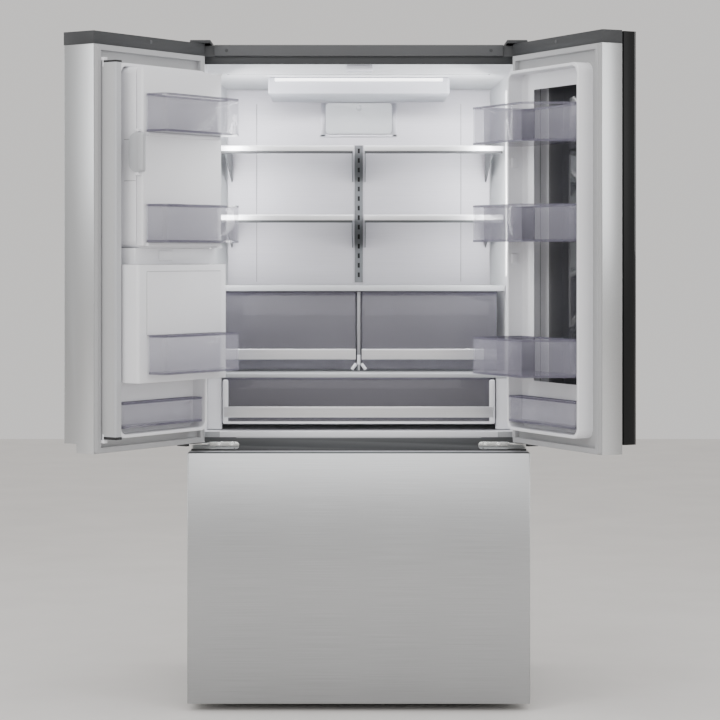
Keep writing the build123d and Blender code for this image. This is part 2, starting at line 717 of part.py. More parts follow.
def right_door_liner():
    """White inner panel of the right door: its rim, the deep recess and the opening for the window."""
    panel = block((4, 452), (DOOR_T - 4, DOOR_T), (DOOR_BOTTOM, CAP_Z))
    inner_x = (DIKE_RIGHT[0] + DIKE_WALL, DIKE_RIGHT[1] - DIKE_WALL)
    inner_z = (DIKE_Z[0] + DIKE_WALL, DIKE_Z[1] - DIKE_WALL)
    outer_x = (inner_x[0] - LINER, inner_x[1] + LINER)
    outer_z = (inner_z[0] - LINER, inner_z[1] + LINER)
    tub = block(outer_x, (RECESS_FLOOR - LINER, DOOR_T), outer_z)
    tub = fillet(tub.edges().filter_by(Axis.Y), 20 + LINER)
    hollow = block(inner_x, (RECESS_FLOOR, DOOR_T + 1), inner_z)
    hollow = fillet(hollow.edges().filter_by(Axis.Y), 20)
    shell = panel + tub - hollow
    return shell + dike(DIKE_RIGHT) - block(WINDOW_X, (STEEL_FRONT, DOOR_T), WINDOW_Z)


def right_basket(z, reach):
    """Basket that narrows towards its outer wall."""
    near, far = RIGHT_BASKET_X
    front = DOOR_T + 5
    outline = [(near, front), (near, DIKE_REAR)]
    if reach > DIKE_REAR:
        outline += [(x, reach) for x in RIGHT_BASKET_TAPER]
    outline += [(far, DIKE_REAR), (far, front)]
    face = make_face(Polyline(*outline, close=True))
    hollow = offset(face, amount=-CLEAR, kind=Kind.INTERSECTION)
    height = z[1] - z[0]
    bin_ = Pos(0, 0, z[0]) * extrude(face, amount=height)
    return bin_ - Pos(0, 0, z[0] + CLEAR) * extrude(hollow, amount=height)


def right_baskets():
    """Four baskets of the right door, the lowest one recessed."""
    spots = ((1496, 1594), (1242, 1337), (898, 993))
    return group(*[right_basket(z, RIGHT_BASKET_REAR) for z in spots], right_basket((768, 836), 141))


# ---- drawers ------------------------------------------------------------------------------
def right_crisper():
    """Clear crisper drawer on the right."""
    x = (6, CRISPER_HALF)
    return tray(x, (SHELF_FRONT, 650), CRISPER_Z, CLEAR, 8)


def right_crisper_bar():
    """Handle bar across the crisper front."""
    bar = block((8, CRISPER_HALF - 2), (SHELF_FRONT - BAR_REACH, SHELF_FRONT), (918, 948))
    return fillet(bar.edges().filter_by(Axis.X).group_by(Axis.Y)[0], 2.5)


def pantry_drawer():
    """Full-width clear drawer."""
    return tray((-PANTRY_HALF, PANTRY_HALF), (PANTRY_FRONT, 640), PANTRY_Z, CLEAR, 10)


def pantry_bar():
    """Handle bar across the pantry drawer."""
    y = (PANTRY_FRONT - BAR_REACH, PANTRY_FRONT)
    bar = block((-PANTRY_HALF + 4, PANTRY_HALF - 4), y, (766, 796))
    return fillet(bar.edges().filter_by(Axis.X).group_by(Axis.Y)[0], 2.5)


def freezer_front():
    """Steel wrap of the freezer drawer front."""
    wrap = block((-HALF, HALF), (0, DOOR_T), (FREEZER_BOTTOM, FREEZER_TOP))
    wrap = fillet(wrap.edges().filter_by(Axis.Z).group_by(Axis.Y)[0], 4)
    inner = (-HALF + SKIN, HALF - SKIN)
    wrap -= block(inner, (SKIN, DOOR_T + 1), (FREEZER_BOTTOM + SKIN, FREEZER_TOP - SKIN))
    return wrap - block(inner, (GRIP_DEEP[0], DOOR_T + 1), (660, FREEZER_TOP + 1))


def freezer_inner():
    """Inner panel of the freezer drawer front with the hand pocket."""
    y0, y1 = GRIP_DEEP
    top = FREEZER_TOP - SKIN
    floor_z = GRIP_FLOOR
    low = FREEZER_BOTTOM + SKIN
    outline = [(y0 - 4, top), (y0 - 4, floor_z - 4), (y1 + 4, floor_z - 4), (y1 + 4, top - 4),
               (96, top - 4), (96, low), (DOOR_T, low), (DOOR_T, top), (y1, top), (y1, floor_z),
               (y0, floor_z), (y0, top)]
    return side_prism(outline, (-HALF + SKIN, HALF - SKIN))


def freezer_gasket():
    """Seal of the freezer drawer."""
    half, low, high = 440, 58, 681
    seal = block((-half, half), (DOOR_T, GASKET_REAR), (low, high))
    y = (DOOR_T - 1, GASKET_REAR + 1)
    return seal - block((GASKET_W - half, half - GASKET_W), y, (low + GASKET_W, high - GASKET_W))


def freezer_bin():
    """Deep freezer bin."""
    return tray((-384, 384), (122, 505), (92, FREEZER_BIN_TOP), CLEAR, 14)


def freezer_slides():
    """Slides that tie the bin to the drawer front."""
    return pair(block((385, 392), (DOOR_T, 505), (300, 335)))


def freezer_basket():
    """Shallow basket that slides on the rim of the bin."""
    return tray((-382, 382), (126, 430), (FREEZER_BIN_TOP + 0.5, 640), CLEAR, 12)


def slide_rails():
    """Fixed rails: pantry drawer rails and freezer rails."""
    rail = block((392.5, 402), (120, 505), (296, 340)) - block((390, 396), (118, 507), (299, 336))
    return group(pantry_guides(), pair(rail))


# ---- nodes --------------------------------------------------------------------------------
def cabinet_nodes():
    """Everything that stays still."""
    return {
        "outer_case": outer_case(),
        "rear_covers": rear_covers(),
        "base_pan": base_pan(),
        "front_feet": front_feet(),
        "front_frame": front_frame(),
        "cross_rail": cross_rail(),
        "top_trim_bar": top_trim_bar(),
        "hinge_covers": hinge_covers(),
        "door_hinges": group(door_hinges(), hinge_bolts()),
        "fridge_liner": fridge_liner(),
        "freezer_liner": freezer_liner(),
        "duct_panels": duct_panels(),
        "filter_cover": filter_cover(),
        "ceiling_fittings": ceiling_fittings(),
        "lamp_lenses": lamp_lenses(),
        "shelf_supports": shelf_supports(),
        "shelf_glass": shelf_glass(),
        "shelf_trims": shelf_trims(),
        "crisper_cover": crisper_cover(),
        "crisper_frame": crisper_frame(),
        "slide_rails": slide_rails(),
        "compressor": compressor(),
        "condenser": condenser(),
        "evaporator": evaporator(),
        "water_valve": water_valve(),
    }


def moving_nodes():
    """Rollers, fans and drawers."""
    return {
        "rear_rollers": rear_rollers(),
        "condenser_fan": condenser_fan(),
        "evaporator_fan": evaporator_fan(),
        "right_crisper": right_crisper(),
        "right_crisper_bar": right_crisper_bar(),
        "left_crisper": other_side(right_crisper()),
        "left_crisper_bar": other_side(right_crisper_bar()),
        "pantry_drawer": pantry_drawer(),
        "pantry_bar": pantry_bar(),
        "freezer_front": freezer_front(),
        "freezer_inner": freezer_inner(),
        "freezer_gasket": freezer_gasket(),
        "freezer_bin": freezer_bin(),
        "freezer_slides": freezer_slides(),
        "freezer_basket": freezer_basket(),
    }


def left_door_nodes():
    """Left door and all that rides on it, closed."""
    return {
        "left_door_skin": left_door_skin(),
        "left_door_caps": door_caps(-1, 0),
        "left_door_liner": left_door_liner(),
        "left_door_gasket": gasket((-434.7, -4)),
        "mullion_flap": mullion_flap(),
        "ice_box": ice_box(),
        "ice_door": ice_door(),
        "ice_latch": ice_latch(),
        "ice_maker": ice_maker(),
        "ice_door_baskets": ice_door_baskets(),
        "left_baskets": left_baskets(),
        "dispenser_housing": dispenser_housing(),
        "dispenser_recess": dispenser_recess(),
        "dispenser_paddle": dispenser_paddle(),
    }


def right_door_nodes():
    """Right door and all that rides on it, closed."""
    return {
        "right_door_skin": right_door_skin(),
        "right_door_caps": group(door_caps(1, STEEL_FRONT), right_glass_frame()),
        "right_door_glass": right_door_glass(),
        "right_door_liner": right_door_liner(),
        "right_door_gasket": gasket((4, 434.7)),
        "right_baskets": right_baskets(),
    }


os.makedirs("parts", exist_ok=True)
save_all(cabinet_nodes())
save_all(moving_nodes())
save_all({name: open_left(shape) for name, shape in left_door_nodes().items()})
save_all({name: open_right(shape) for name, shape in right_door_nodes().items()})
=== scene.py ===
import bmesh
import bpy
import json
import math
from mathutils import Matrix, Vector


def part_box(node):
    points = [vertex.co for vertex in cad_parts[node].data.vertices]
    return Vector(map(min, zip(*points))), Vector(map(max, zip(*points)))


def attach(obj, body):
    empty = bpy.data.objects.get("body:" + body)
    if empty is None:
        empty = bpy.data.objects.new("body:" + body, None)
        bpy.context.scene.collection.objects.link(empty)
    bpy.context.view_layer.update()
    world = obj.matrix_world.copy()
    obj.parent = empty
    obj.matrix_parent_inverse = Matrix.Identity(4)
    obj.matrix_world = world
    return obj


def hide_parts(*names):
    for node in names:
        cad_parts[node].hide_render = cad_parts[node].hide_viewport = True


# French door refrigerator: finished pieces around the fixed frame, in metres.

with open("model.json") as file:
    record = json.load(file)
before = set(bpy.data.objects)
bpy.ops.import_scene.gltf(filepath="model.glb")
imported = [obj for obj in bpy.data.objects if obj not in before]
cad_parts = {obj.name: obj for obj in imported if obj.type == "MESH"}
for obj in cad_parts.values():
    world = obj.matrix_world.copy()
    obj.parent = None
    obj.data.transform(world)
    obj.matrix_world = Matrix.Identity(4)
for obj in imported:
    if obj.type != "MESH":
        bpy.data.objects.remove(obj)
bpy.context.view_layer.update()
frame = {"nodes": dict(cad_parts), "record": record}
RECORD = frame["record"]
BODIES = RECORD["behaviour"]["bodies"]
JOINTS = {joint["name"]: joint for joint in RECORD["behaviour"]["joints"]}
BODY_OF = {node: body for body, nodes in BODIES.items() for node in nodes}
SLOT_OF = {entry["node"]: entry["material_slot"] for entry in RECORD["subparts"]}
MM = 0.001


# ---- placing on the doors -----------------------------------------------------------------
def opening_turn(joint_name):
    """Turn that takes a piece from the shut door to the open one."""
    joint = JOINTS[joint_name]
    spot = Vector(joint["pos_m"])
    turn = Matrix.Rotation(math.radians(-joint["range_deg"][0]), 4, Vector(joint["axis"]))
    return Matrix.Translation(spot) @ turn @ Matrix.Translation(-spot)


LEFT = opening_turn("left_door_hinge")
RIGHT = opening_turn("right_door_hinge")
STILL = Matrix.Identity(4)


def door_angle(place):
    """Angle of a door about the upright axis."""
    return math.atan2(place[1][0], place[0][0])


def shut_box(node, place):
    """Lowest and highest corner of a door node with the door shut."""
    back = place.inverted()
    points = [back @ vertex.co for vertex in frame["nodes"][node].data.vertices]
    low = Vector([min(p[i] for p in points) for i in range(3)])
    high = Vector([max(p[i] for p in points) for i in range(3)])
    return low, high


def depth_range(place, front, rear):
    """Turned Object coordinate of two depths of a shut door."""
    back = Matrix.Rotation(-door_angle(place), 4, "Z")
    return tuple((back @ (place @ Vector((0, y, 0)))).y for y in (front, rear))


# ---- materials ----------------------------------------------------------------------------
def start_material(name):
    """New material: its node tree and its shader."""
    material = bpy.data.materials.new(name)
    material.use_nodes = True
    tree = material.node_tree
    return material, tree, tree.nodes["Principled BSDF"]


def mapped(tree, scale=(1, 1, 1), angle=0.0):
    """Object coordinates, turned about the upright axis and stretched."""
    coords = tree.nodes.new("ShaderNodeTexCoord")
    turn = tree.nodes.new("ShaderNodeMapping")
    turn.inputs["Rotation"].default_value = (0, 0, -angle)
    stretch = tree.nodes.new("ShaderNodeMapping")
    stretch.inputs["Scale"].default_value = scale
    tree.links.new(coords.outputs["Object"], turn.inputs["Vector"])
    tree.links.new(turn.outputs["Vector"], stretch.inputs["Vector"])
    return stretch.outputs["Vector"]


def noise(tree, vector, scale, detail=3.0, roughness=0.55):
    """Noise field."""
    node = tree.nodes.new("ShaderNodeTexNoise")
    node.inputs["Scale"].default_value = scale
    node.inputs["Detail"].default_value = detail
    node.inputs["Roughness"].default_value = roughness
    tree.links.new(vector, node.inputs["Vector"])
    return node.outputs["Fac"]


def ramp(tree, value, stops):
    """Colour ramp through (position, colour) stops."""
    node = tree.nodes.new("ShaderNodeValToRGB")
    elements = node.color_ramp.elements
    while len(elements) < len(stops):
        elements.new(0.5)
    for element, (position, colour) in zip(elements, stops):
        element.position = position
        element.color = (*colour, 1)
    tree.links.new(value, node.inputs["Fac"])
    return node.outputs["Color"]


def spread(tree, value, low, high):
    """Value stretched to a range."""
    node = tree.nodes.new("ShaderNodeMapRange")
    node.inputs["To Min"].default_value = low
    node.inputs["To Max"].default_value = high
    tree.links.new(value, node.inputs["Value"])
    return node.outputs["Result"]


def add_bump(tree, shader, height, strength, distance):
    """Relief on the shader's normal."""
    node = tree.nodes.new("ShaderNodeBump")
    node.inputs["Strength"].default_value = strength
    node.inputs["Distance"].default_value = distance
    tree.links.new(height, node.inputs["Height"])
    tree.links.new(node.outputs["Normal"], shader.inputs["Normal"])


def shade(colour, factor):
    """Colour made lighter or darker."""
    return tuple(min(1.0, channel * factor) for channel in colour)


def painted_light_along(tree, colour, vector, axis, start, end, tones):
    """Colour multiplied by a painted highlight and shade ramp along one axis."""
    split = tree.nodes.new("ShaderNodeSeparateXYZ")
    reach = tree.nodes.new("ShaderNodeMapRange")
    reach.interpolation_type = "SMOOTHSTEP"
    reach.inputs["From Min"].default_value = start
    reach.inputs["From Max"].default_value = end
    reach.inputs["To Min"].default_value, reach.inputs["To Max"].default_value = tones
    scale = tree.nodes.new("ShaderNodeVectorMath")
    scale.operation = "SCALE"
    tree.links.new(vector, split.inputs["Vector"])
    tree.links.new(split.outputs[axis], reach.inputs["Value"])
    tree.links.new(colour, scale.inputs[0])
    tree.links.new(reach.outputs["Result"], scale.inputs["Scale"])
    return scale.outputs["Vector"]


LEVEL_SCRATCHES = (3, 500, 500)
UPRIGHT_SCRATCHES = (500, 500, 3)


def brushed_metal(name, colour, angle=0.0, rough=(0.26, 0.40), contrast=0.10, upright=False,
                  drift=None):
    """Brushed sheet: fine long scratches over a slow change of tone, with an optional painted highlight and
    shade ramp.
    """
    material, tree, shader = start_material(name)
    along = UPRIGHT_SCRATCHES if upright else LEVEL_SCRATCHES
    grain = noise(tree, mapped(tree, along, angle), 1.6, 4.0, 0.6)
    cloud = noise(tree, mapped(tree, (2.2, 2.2, 1.0), angle), 1.5, 2.0)
    mix = tree.nodes.new("ShaderNodeMix")
    mix.data_type = "RGBA"
    mix.blend_type = "MULTIPLY"
    mix.inputs["Factor"].default_value = 1.0
    tones = ramp(tree, grain, [(0.3, shade(colour, 1 - contrast)), (0.7, shade(colour, 1 + contrast))])
    tree.links.new(tones, mix.inputs["A"])
    tree.links.new(ramp(tree, cloud, [(0.3, (0.95,) * 3), (0.7, (1.0,) * 3)]), mix.inputs["B"])
    result = mix.outputs["Result"]
    # drift: painted highlight and shade, lighter at one end of an axis and darker at the other.
    if drift:
        result = painted_light_along(tree, result, mapped(tree, (1, 1, 1), angle), *drift)
    tree.links.new(result, shader.inputs["Base Color"])
    tree.links.new(spread(tree, grain, *rough), shader.inputs["Roughness"])
    shader.inputs["Metallic"].default_value = 1.0
    shader.inputs["Anisotropic"].default_value = 0.5
    add_bump(tree, shader, grain, 0.08, 0.0002)
    return material


def moulded(name, colour, rough=(0.32, 0.42), grain=900.0, relief=0.05, tone=0.03, spec=0.5):
    """Moulded plastic: fine surface grain and a slight drift of tone."""
    material, tree, shader = start_material(name)
    fine = noise(tree, mapped(tree), grain, 2.0)
    drift = noise(tree, mapped(tree), 3.0, 3.0)
    colours = [(0.3, shade(colour, 1 - tone)), (0.7, shade(colour, 1 + tone))]
    tree.links.new(ramp(tree, drift, colours), shader.inputs["Base Color"])
    tree.links.new(spread(tree, fine, *rough), shader.inputs["Roughness"])
    shader.inputs["Specular IOR Level"].default_value = spec
    add_bump(tree, shader, fine, relief, 0.0003)
    return material


def stipple_paint(name, colour):
    """Pebbled paint of the case."""
    material, tree, shader = start_material(name)
    cells = tree.nodes.new("ShaderNodeTexVoronoi")
    cells.inputs["Scale"].default_value = 420
    tree.links.new(mapped(tree), cells.inputs["Vector"])
    drift = noise(tree, mapped(tree), 2.0, 4.0)
    tones = ramp(tree, drift, [(0.3, shade(colour, 0.94)), (0.7, shade(colour, 1.05))])
    tree.links.new(tones, shader.inputs["Base Color"])
    tree.links.new(spread(tree, cells.outputs["Distance"], 0.38, 0.55), shader.inputs["Roughness"])
    add_bump(tree, shader, cells.outputs["Distance"], 0.25, 0.0004)
    return material


def clear_plastic(name, colour, see_through=(0.16, 0.80), rough=(0.04, 0.10)):
    """Clear moulding: thin face on, denser where seen edge on."""
    material, tree, shader = start_material(name)
    facing = tree.nodes.new("ShaderNodeLayerWeight")
    facing.inputs["Blend"].default_value = 0.35
    flow = noise(tree, mapped(tree), 9.0, 2.0)
    tree.links.new(spread(tree, facing.outputs["Facing"], *see_through), shader.inputs["Alpha"])
    tones = ramp(tree, flow, [(0.3, shade(colour, 0.95)), (0.7, shade(colour, 1.04))])
    tree.links.new(tones, shader.inputs["Base Color"])
    tree.links.new(spread(tree, flow, *rough), shader.inputs["Roughness"])
    shader.inputs["IOR"].default_value = 1.49
    add_bump(tree, shader, flow, 0.04, 0.001)
    return material


def dark_mirror(name, colour, rough=(0.03, 0.07)):
    """Black glass."""
    material, tree, shader = start_material(name)
    haze = noise(tree, mapped(tree), 14.0, 4.0)
    tones = ramp(tree, haze, [(0.3, shade(colour, 0.85)), (0.7, shade(colour, 1.15))])
    tree.links.new(tones, shader.inputs["Base Color"])
    tree.links.new(spread(tree, haze, *rough), shader.inputs["Roughness"])
    shader.inputs["Coat Weight"].default_value = 0.6
    shader.inputs["Coat Roughness"].default_value = 0.03
    return material


def glowing(name, colour, strength):
    """Lit lamp lens with a slight prism pattern."""
    material, tree, shader = start_material(name)
    cells = noise(tree, mapped(tree, (1, 1, 1)), 160.0, 1.0)
    tones = ramp(tree, cells, [(0.3, shade(colour, 0.92)), (0.7, colour)])
    tree.links.new(tones, shader.inputs["Base Color"])
    tree.links.new(tones, shader.inputs["Emission Color"])
    shader.inputs["Emission Strength"].default_value = strength
    shader.inputs["Roughness"].default_value = 0.35
    return material


WHITE = (0.80, 0.805, 0.835)
STEEL = (0.50, 0.51, 0.52)
# Axis, where the painted light starts and ends, and the tones there: a painted highlight makes the steel
# lighter near the top of the drawer front and near the rear of each door's edge, painted shade darker below
# and in front.
FRONT_PAINTED_LIGHT = ("Z", 0.0, 0.68, (0.80, 1.14))
LEFT_PAINTED_LIGHT = ("Y", *depth_range(LEFT, 0.0, 0.10), (0.86, 1.30))
RIGHT_PAINTED_LIGHT = ("Y", *depth_range(RIGHT, 0.03, 0.10), (0.80, 1.26))
MATERIALS = {
    "steel": brushed_metal("brushed_steel", STEEL, drift=FRONT_PAINTED_LIGHT),
    "steel_left": brushed_metal("brushed_steel_left", STEEL, door_angle(LEFT), drift=LEFT_PAINTED_LIGHT),
    "steel_right": brushed_metal("brushed_steel_right", STEEL, door_angle(RIGHT), drift=RIGHT_PAINTED_LIGHT),
    "case_paint": stipple_paint("case_paint", (0.13, 0.135, 0.14)),
    "zinc": brushed_metal("zinc_plate", (0.66, 0.67, 0.66), 0, (0.18, 0.34), 0.08),
    "liner": moulded("white_liner", WHITE, (0.30, 0.40), 700, 0.04),
    "perimeter": moulded("grey_liner_edge", (0.37, 0.375, 0.385), (0.40, 0.50), 900, 0.05),
    # seam_shadow: dark strips that stand in for the painted shade inside seams, grooves and creases.
    "seam_painted_shade": moulded("seam_shadow", (0.20, 0.20, 0.215), (0.5, 0.6), 900, 0.05),
    "flap_facing": moulded("flap_facing", (0.44, 0.445, 0.455), (0.36, 0.48), 900, 0.05),
    "corner_plate": moulded("corner_plate", (0.40, 0.41, 0.43), (0.22, 0.32), 700, 0.03),
    "post_grey": moulded("post_grey", (0.26, 0.26, 0.28), (0.25, 0.38), 900, 0.05),
    "duct_plastic": moulded("duct_plastic", (0.56, 0.565, 0.62), (0.30, 0.42), 800, 0.04),
    "rail_paint": moulded("rail_paint", (0.20, 0.205, 0.22), (0.32, 0.45), 900, 0.05),
    "joint_black": moulded("joint_black", (0.005, 0.0053, 0.0056), (0.32, 0.42), 1500, 0.06, 0.08, 0.2),
    "dark_plastic": moulded("dark_plastic", (0.030, 0.032, 0.035), (0.45, 0.6), 1500, 0.12, 0.06),
    "grey_plastic": moulded("grey_plastic", (0.070, 0.073, 0.077), (0.45, 0.58), 1500, 0.10, 0.05),
    "light_plastic": moulded("light_plastic", (0.46, 0.47, 0.49), (0.34, 0.46), 1100, 0.05),
    "black_glass": dark_mirror("black_glass", (0.010, 0.011, 0.012)),
    "window_glass": dark_mirror("window_glass", (0.035, 0.036, 0.040), (0.05, 0.1)),
    "shelf_glass": clear_plastic("shelf_glass", (0.62, 0.72, 0.70), (0.14, 0.60), (0.02, 0.05)),
    "clear_bin": clear_plastic("clear_bin", (0.46, 0.45, 0.54), (0.045, 0.50)),
    "bin_edge": clear_plastic("bin_edge", (0.15, 0.14, 0.20), (0.38, 0.88)),
    "smoky_bin": clear_plastic("smoky_bin", (0.22, 0.215, 0.25), (0.40, 0.85)),
    "satin_bar": brushed_metal("satin_bar", (0.74, 0.74, 0.76), 0, (0.30, 0.42), 0.04),
    "lamp": glowing("lamp_lens", (1.0, 1.0, 1.0), 2.4),
    "gasket": moulded("gasket_rubber", (0.38, 0.385, 0.395), (0.55, 0.7), 1200, 0.08),
    "duct_metal": brushed_metal("duct_metal", (0.60, 0.59, 0.64), 0, (0.34, 0.46), 0.05),
    "black_rubber": moulded("black_rubber", (0.015, 0.015, 0.016), (0.55, 0.75), 1400, 0.15, 0.1),
    "compressor_black": stipple_paint("compressor_black", (0.016, 0.016, 0.017)),
    "fin_metal": brushed_metal("fin_metal", (0.72, 0.73, 0.74), 0, (0.3, 0.45), 0.06, True),
    "valve_plastic": moulded("valve_plastic", (0.66, 0.65, 0.58), (0.45, 0.6), 1000, 0.08),
}


# ---- modelling helpers --------------------------------------------------------------------
def round_edges(bm, edges, width, segments=2):
    """Round a set of edges."""
    if width > 0 and edges:
        bmesh.ops.bevel(bm, geom=edges, offset=width, offset_type="OFFSET", segments=segments, profile=0.5,
                        affect="EDGES", clamp_overlap=True, material=-1)


def sharp_edges(bm, angle=30.0):
    """Edges where two faces meet at more than an angle."""
    limit = math.radians(angle)
    return [e for e in bm.edges if len(e.link_faces) == 2 and e.calc_face_angle() > limit]


def pour(target, source, place=STILL):
    """Add one bmesh to another and drop it."""
    bmesh.ops.transform(source, matrix=place, verts=source.verts)
    carrier = bpy.data.meshes.new("carrier")
    source.to_mesh(carrier)
    source.free()
    target.from_mesh(carrier)
    bpy.data.meshes.remove(carrier)


def block(bm, low, high, place=STILL, width=0.001, segments=2):
    """Rounded block between two corners."""
    part = bmesh.new()
    bmesh.ops.create_cube(part, size=1.0)
    size = Vector(high) - Vector(low)
    bmesh.ops.scale(part, vec=size, verts=part.verts)
    bmesh.ops.translate(part, vec=(Vector(high) + Vector(low)) / 2, verts=part.verts)
    round_edges(part, list(part.edges), width, segments)
    pour(bm, part, place)


def rod(bm, start, end, radius, place=STILL, sides=24, width=0.0):
    """Round bar from start to end."""
    part = bmesh.new()
    start, end = Vector(start), Vector(end)
    axis = end - start
    bmesh.ops.create_cone(part, cap_ends=True, segments=sides, radius1=radius, radius2=radius,
                          depth=axis.length)
    round_edges(part, sharp_edges(part, 50), width)
    turn = Vector((0, 0, 1)).rotation_difference(axis).to_matrix().to_4x4()
    pour(bm, part, place @ Matrix.Translation((start + end) / 2) @ turn)


ARC_STEPS = 6
SHARP_CORNER = 0.2 * MM


def rounded_outline(low, high, inset, radius):
    """Points round a rectangle set in by a distance, with a quarter circle at each corner."""
    points = []
    middle = Vector(((low[0] + high[0]) / 2, (low[1] + high[1]) / 2))
    half = Vector(((high[0] - low[0]) / 2 - inset - radius, (high[1] - low[1]) / 2 - inset - radius))
    for quarter, (sx, sz) in enumerate(((1, 1), (-1, 1), (-1, -1), (1, -1))):
        for step in range(ARC_STEPS + 1):
            angle = math.radians(90 * (quarter + step / ARC_STEPS))
            points.append(middle + Vector((sx * half.x + radius * math.cos(angle),
                                           sz * half.y + radius * math.sin(angle))))
    return points


def ring(bm, low, high, wall, y, place=STILL, corner=0.0):
    """Upright rectangular ring in the XZ plane between two depths, with rounded corners."""
    part = bmesh.new()
    loops = []
    for inset, depth in ((0.0, y[0]), (wall, y[0]), (wall, y[1]), (0.0, y[1])):
        outline = rounded_outline(low, high, inset, max(corner - inset, SHARP_CORNER))
        loops.append([part.verts.new((point.x, depth, point.y)) for point in outline])
    for first, second in zip(loops, loops[1:] + loops[:1]):
        for i in range(len(first)):
            j = (i + 1) % len(first)
            part.faces.new((first[i], first[j], second[j], second[i]))
    bmesh.ops.recalc_face_normals(part, faces=list(part.faces))
    pour(bm, part, place)


SMOOTH_ANGLE = 32.0


def finish_piece(name, bm, material, body, nodes=(), slot=None):
    """Turn a bmesh into a piece that rides on a body."""
    mesh = bpy.data.meshes.new(name)
    bm.to_mesh(mesh)
    bm.free()
    mesh.polygons.foreach_set("use_smooth", [True] * len(mesh.polygons))
    mesh.set_sharp_from_angle(angle=math.radians(SMOOTH_ANGLE))
    piece = bpy.data.objects.new(name, mesh)
    bpy.context.scene.collection.objects.link(piece)
    mesh.materials.append(MATERIALS[material])
    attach(piece, body)
    slot or SLOT_OF[nodes[0]]
    if nodes:
        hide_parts(*nodes)
    return piece


def merged_copy(node):
    """Copy of a frame node with its triangles joined into flat faces."""
    bm = bmesh.new()
    bm.from_mesh(frame["nodes"][node].data)
    bmesh.ops.remove_doubles(bm, verts=bm.verts, dist=1e-6)
    bmesh.ops.dissolve_limit(bm, angle_limit=math.radians(0.4), use_dissolve_boundaries=False,
                             verts=bm.verts, edges=bm.edges, delimit={"NORMAL"})
    return bm


def softened(node, material, width):
    """Finished copy of a frame node with its hard edges rounded."""
    bm = merged_copy(node)
    round_edges(bm, sharp_edges(bm), width)
    return finish_piece(f"{node}_finished", bm, material, BODY_OF[node], (node,))


def recoat(node, material):
    """Give a frame node its finish as it is."""
    mesh_slots = frame["nodes"][node].data.materials
    mesh_slots.clear()
    mesh_slots.append(MATERIALS[material])


# ---- finishes of the frame's own nodes ----------------------------------------------------
SOFTENED = {
    "outer_case": ("case_paint", 0.0006),
    "front_frame": ("grey_plastic", 0.0),
    "cross_rail": ("grey_plastic", 0.001),
    "top_trim_bar": ("grey_plastic", 0.001),
    "hinge_covers": ("dark_plastic", 0.001),
    "door_hinges": ("zinc", 0.0006),
    "fridge_liner": ("liner", 0.0012),
    "filter_cover": ("liner", 0.001),
    "ceiling_fittings": ("duct_plastic", 0.004),
    "shelf_trims": ("satin_bar", 0.001),
    "crisper_frame": ("light_plastic", 0.001),
    "left_door_skin": ("steel_left", 0.001),
    "left_door_caps": ("dark_plastic", 0.001),
    "left_door_liner": ("liner", 0.001),
    "mullion_flap": ("light_plastic", 0.001),
    "ice_box": ("liner", 0.001),
    "ice_door": ("liner", 0.002),
    "ice_door_baskets": ("clear_bin", 0.001),
    "left_baskets": ("clear_bin", 0.001),
    "dispenser_housing": ("liner", 0.003),
    "dispenser_recess": ("dark_plastic", 0.001),
    "dispenser_paddle": ("grey_plastic", 0.001),
    "right_door_skin": ("steel_right", 0.001),
    "right_door_caps": ("dark_plastic", 0.001),
    "right_door_glass": ("black_glass", 0.0006),
    "right_door_liner": ("liner", 0.001),
    "right_baskets": ("clear_bin", 0.001),
    "left_crisper": ("smoky_bin", 0.001),
    "right_crisper": ("smoky_bin", 0.001),
    "left_crisper_bar": ("satin_bar", 0.001),
    "right_crisper_bar": ("satin_bar", 0.001),
    "pantry_drawer": ("smoky_bin", 0.001),
    "pantry_bar": ("satin_bar", 0.001),
    "freezer_front": ("steel", 0.001),
}
RECOATED = {
    "rear_covers": "case_paint",
    "base_pan": "zinc",
    "front_feet": "black_rubber",
    "freezer_liner": "liner",
    "duct_panels": "duct_metal",
    "lamp_lenses": "lamp",
    "shelf_supports": "rail_paint",
    "shelf_glass": "shelf_glass",
    "crisper_cover": "shelf_glass",
    "slide_rails": "light_plastic",
    "compressor": "compressor_black",
    "condenser": "compressor_black",
    "evaporator": "fin_metal",
    "water_valve": "valve_plastic",
    "rear_rollers": "black_rubber",
    "condenser_fan": "dark_plastic",
    "evaporator_fan": "dark_plastic",
    "freezer_inner": "light_plastic",
    "freezer_bin": "clear_bin",
    "freezer_slides": "zinc",
    "freezer_basket": "clear_bin",
    "ice_maker": "light_plastic",
}
finished = {}
for node, (material, width) in SOFTENED.items():
    finished[node] = softened(node, material, width)
for node, material in RECOATED.items():
    recoat(node, material)


# ---- repainted regions --------------------------------------------------------------------
def paint_faces(piece, material, place, test):
    """Second finish on the faces whose corners, with the door shut, pass the test."""
    mesh = piece.data
    back = place.inverted()
    mesh.materials.append(MATERIALS[material])
    index = len(mesh.materials) - 1
    for polygon in mesh.polygons:
        if test([back @ mesh.vertices[corner].co for corner in polygon.vertices]):
            polygon.material_index = index


EDGE_DEPTH, EDGE_OUTER, EDGE_INNER = 101 * MM, 440 * MM, 12 * MM
FRONT_FRAME_DEPTH = 41.2 * MM
WINDOW_DEPTH = 30 * MM


def on_door_edge(points):
    """Flat edge of a door's inner panel, outside its moulded rim."""
    in_front = all(p.y < EDGE_DEPTH for p in points)
    return in_front and any(abs(p.x) > EDGE_OUTER or abs(p.x) < EDGE_INNER for p in points)


def on_front_frame(points):
    """Black frame and joint behind the front glass."""
    return all(p.y < FRONT_FRAME_DEPTH for p in points)


def on_window(points):
    """Window pane at the back of the door."""
    return all(p.y > WINDOW_DEPTH for p in points)


# ---- seals --------------------------------------------------------------------------------
SEAL_WIDTH = 14 * MM
# Each layer: where it starts and ends across the seal, then over its depth.
SEAL_LAYERS = (
    (0.0, 1.0, 0.0, 0.32),
    (0.0, 0.28, 0.32, 0.74),
    (0.72, 1.0, 0.32, 0.74),
    (0.05, 0.95, 0.74, 1.0),
)
SEAL_CORNER = 6 * MM


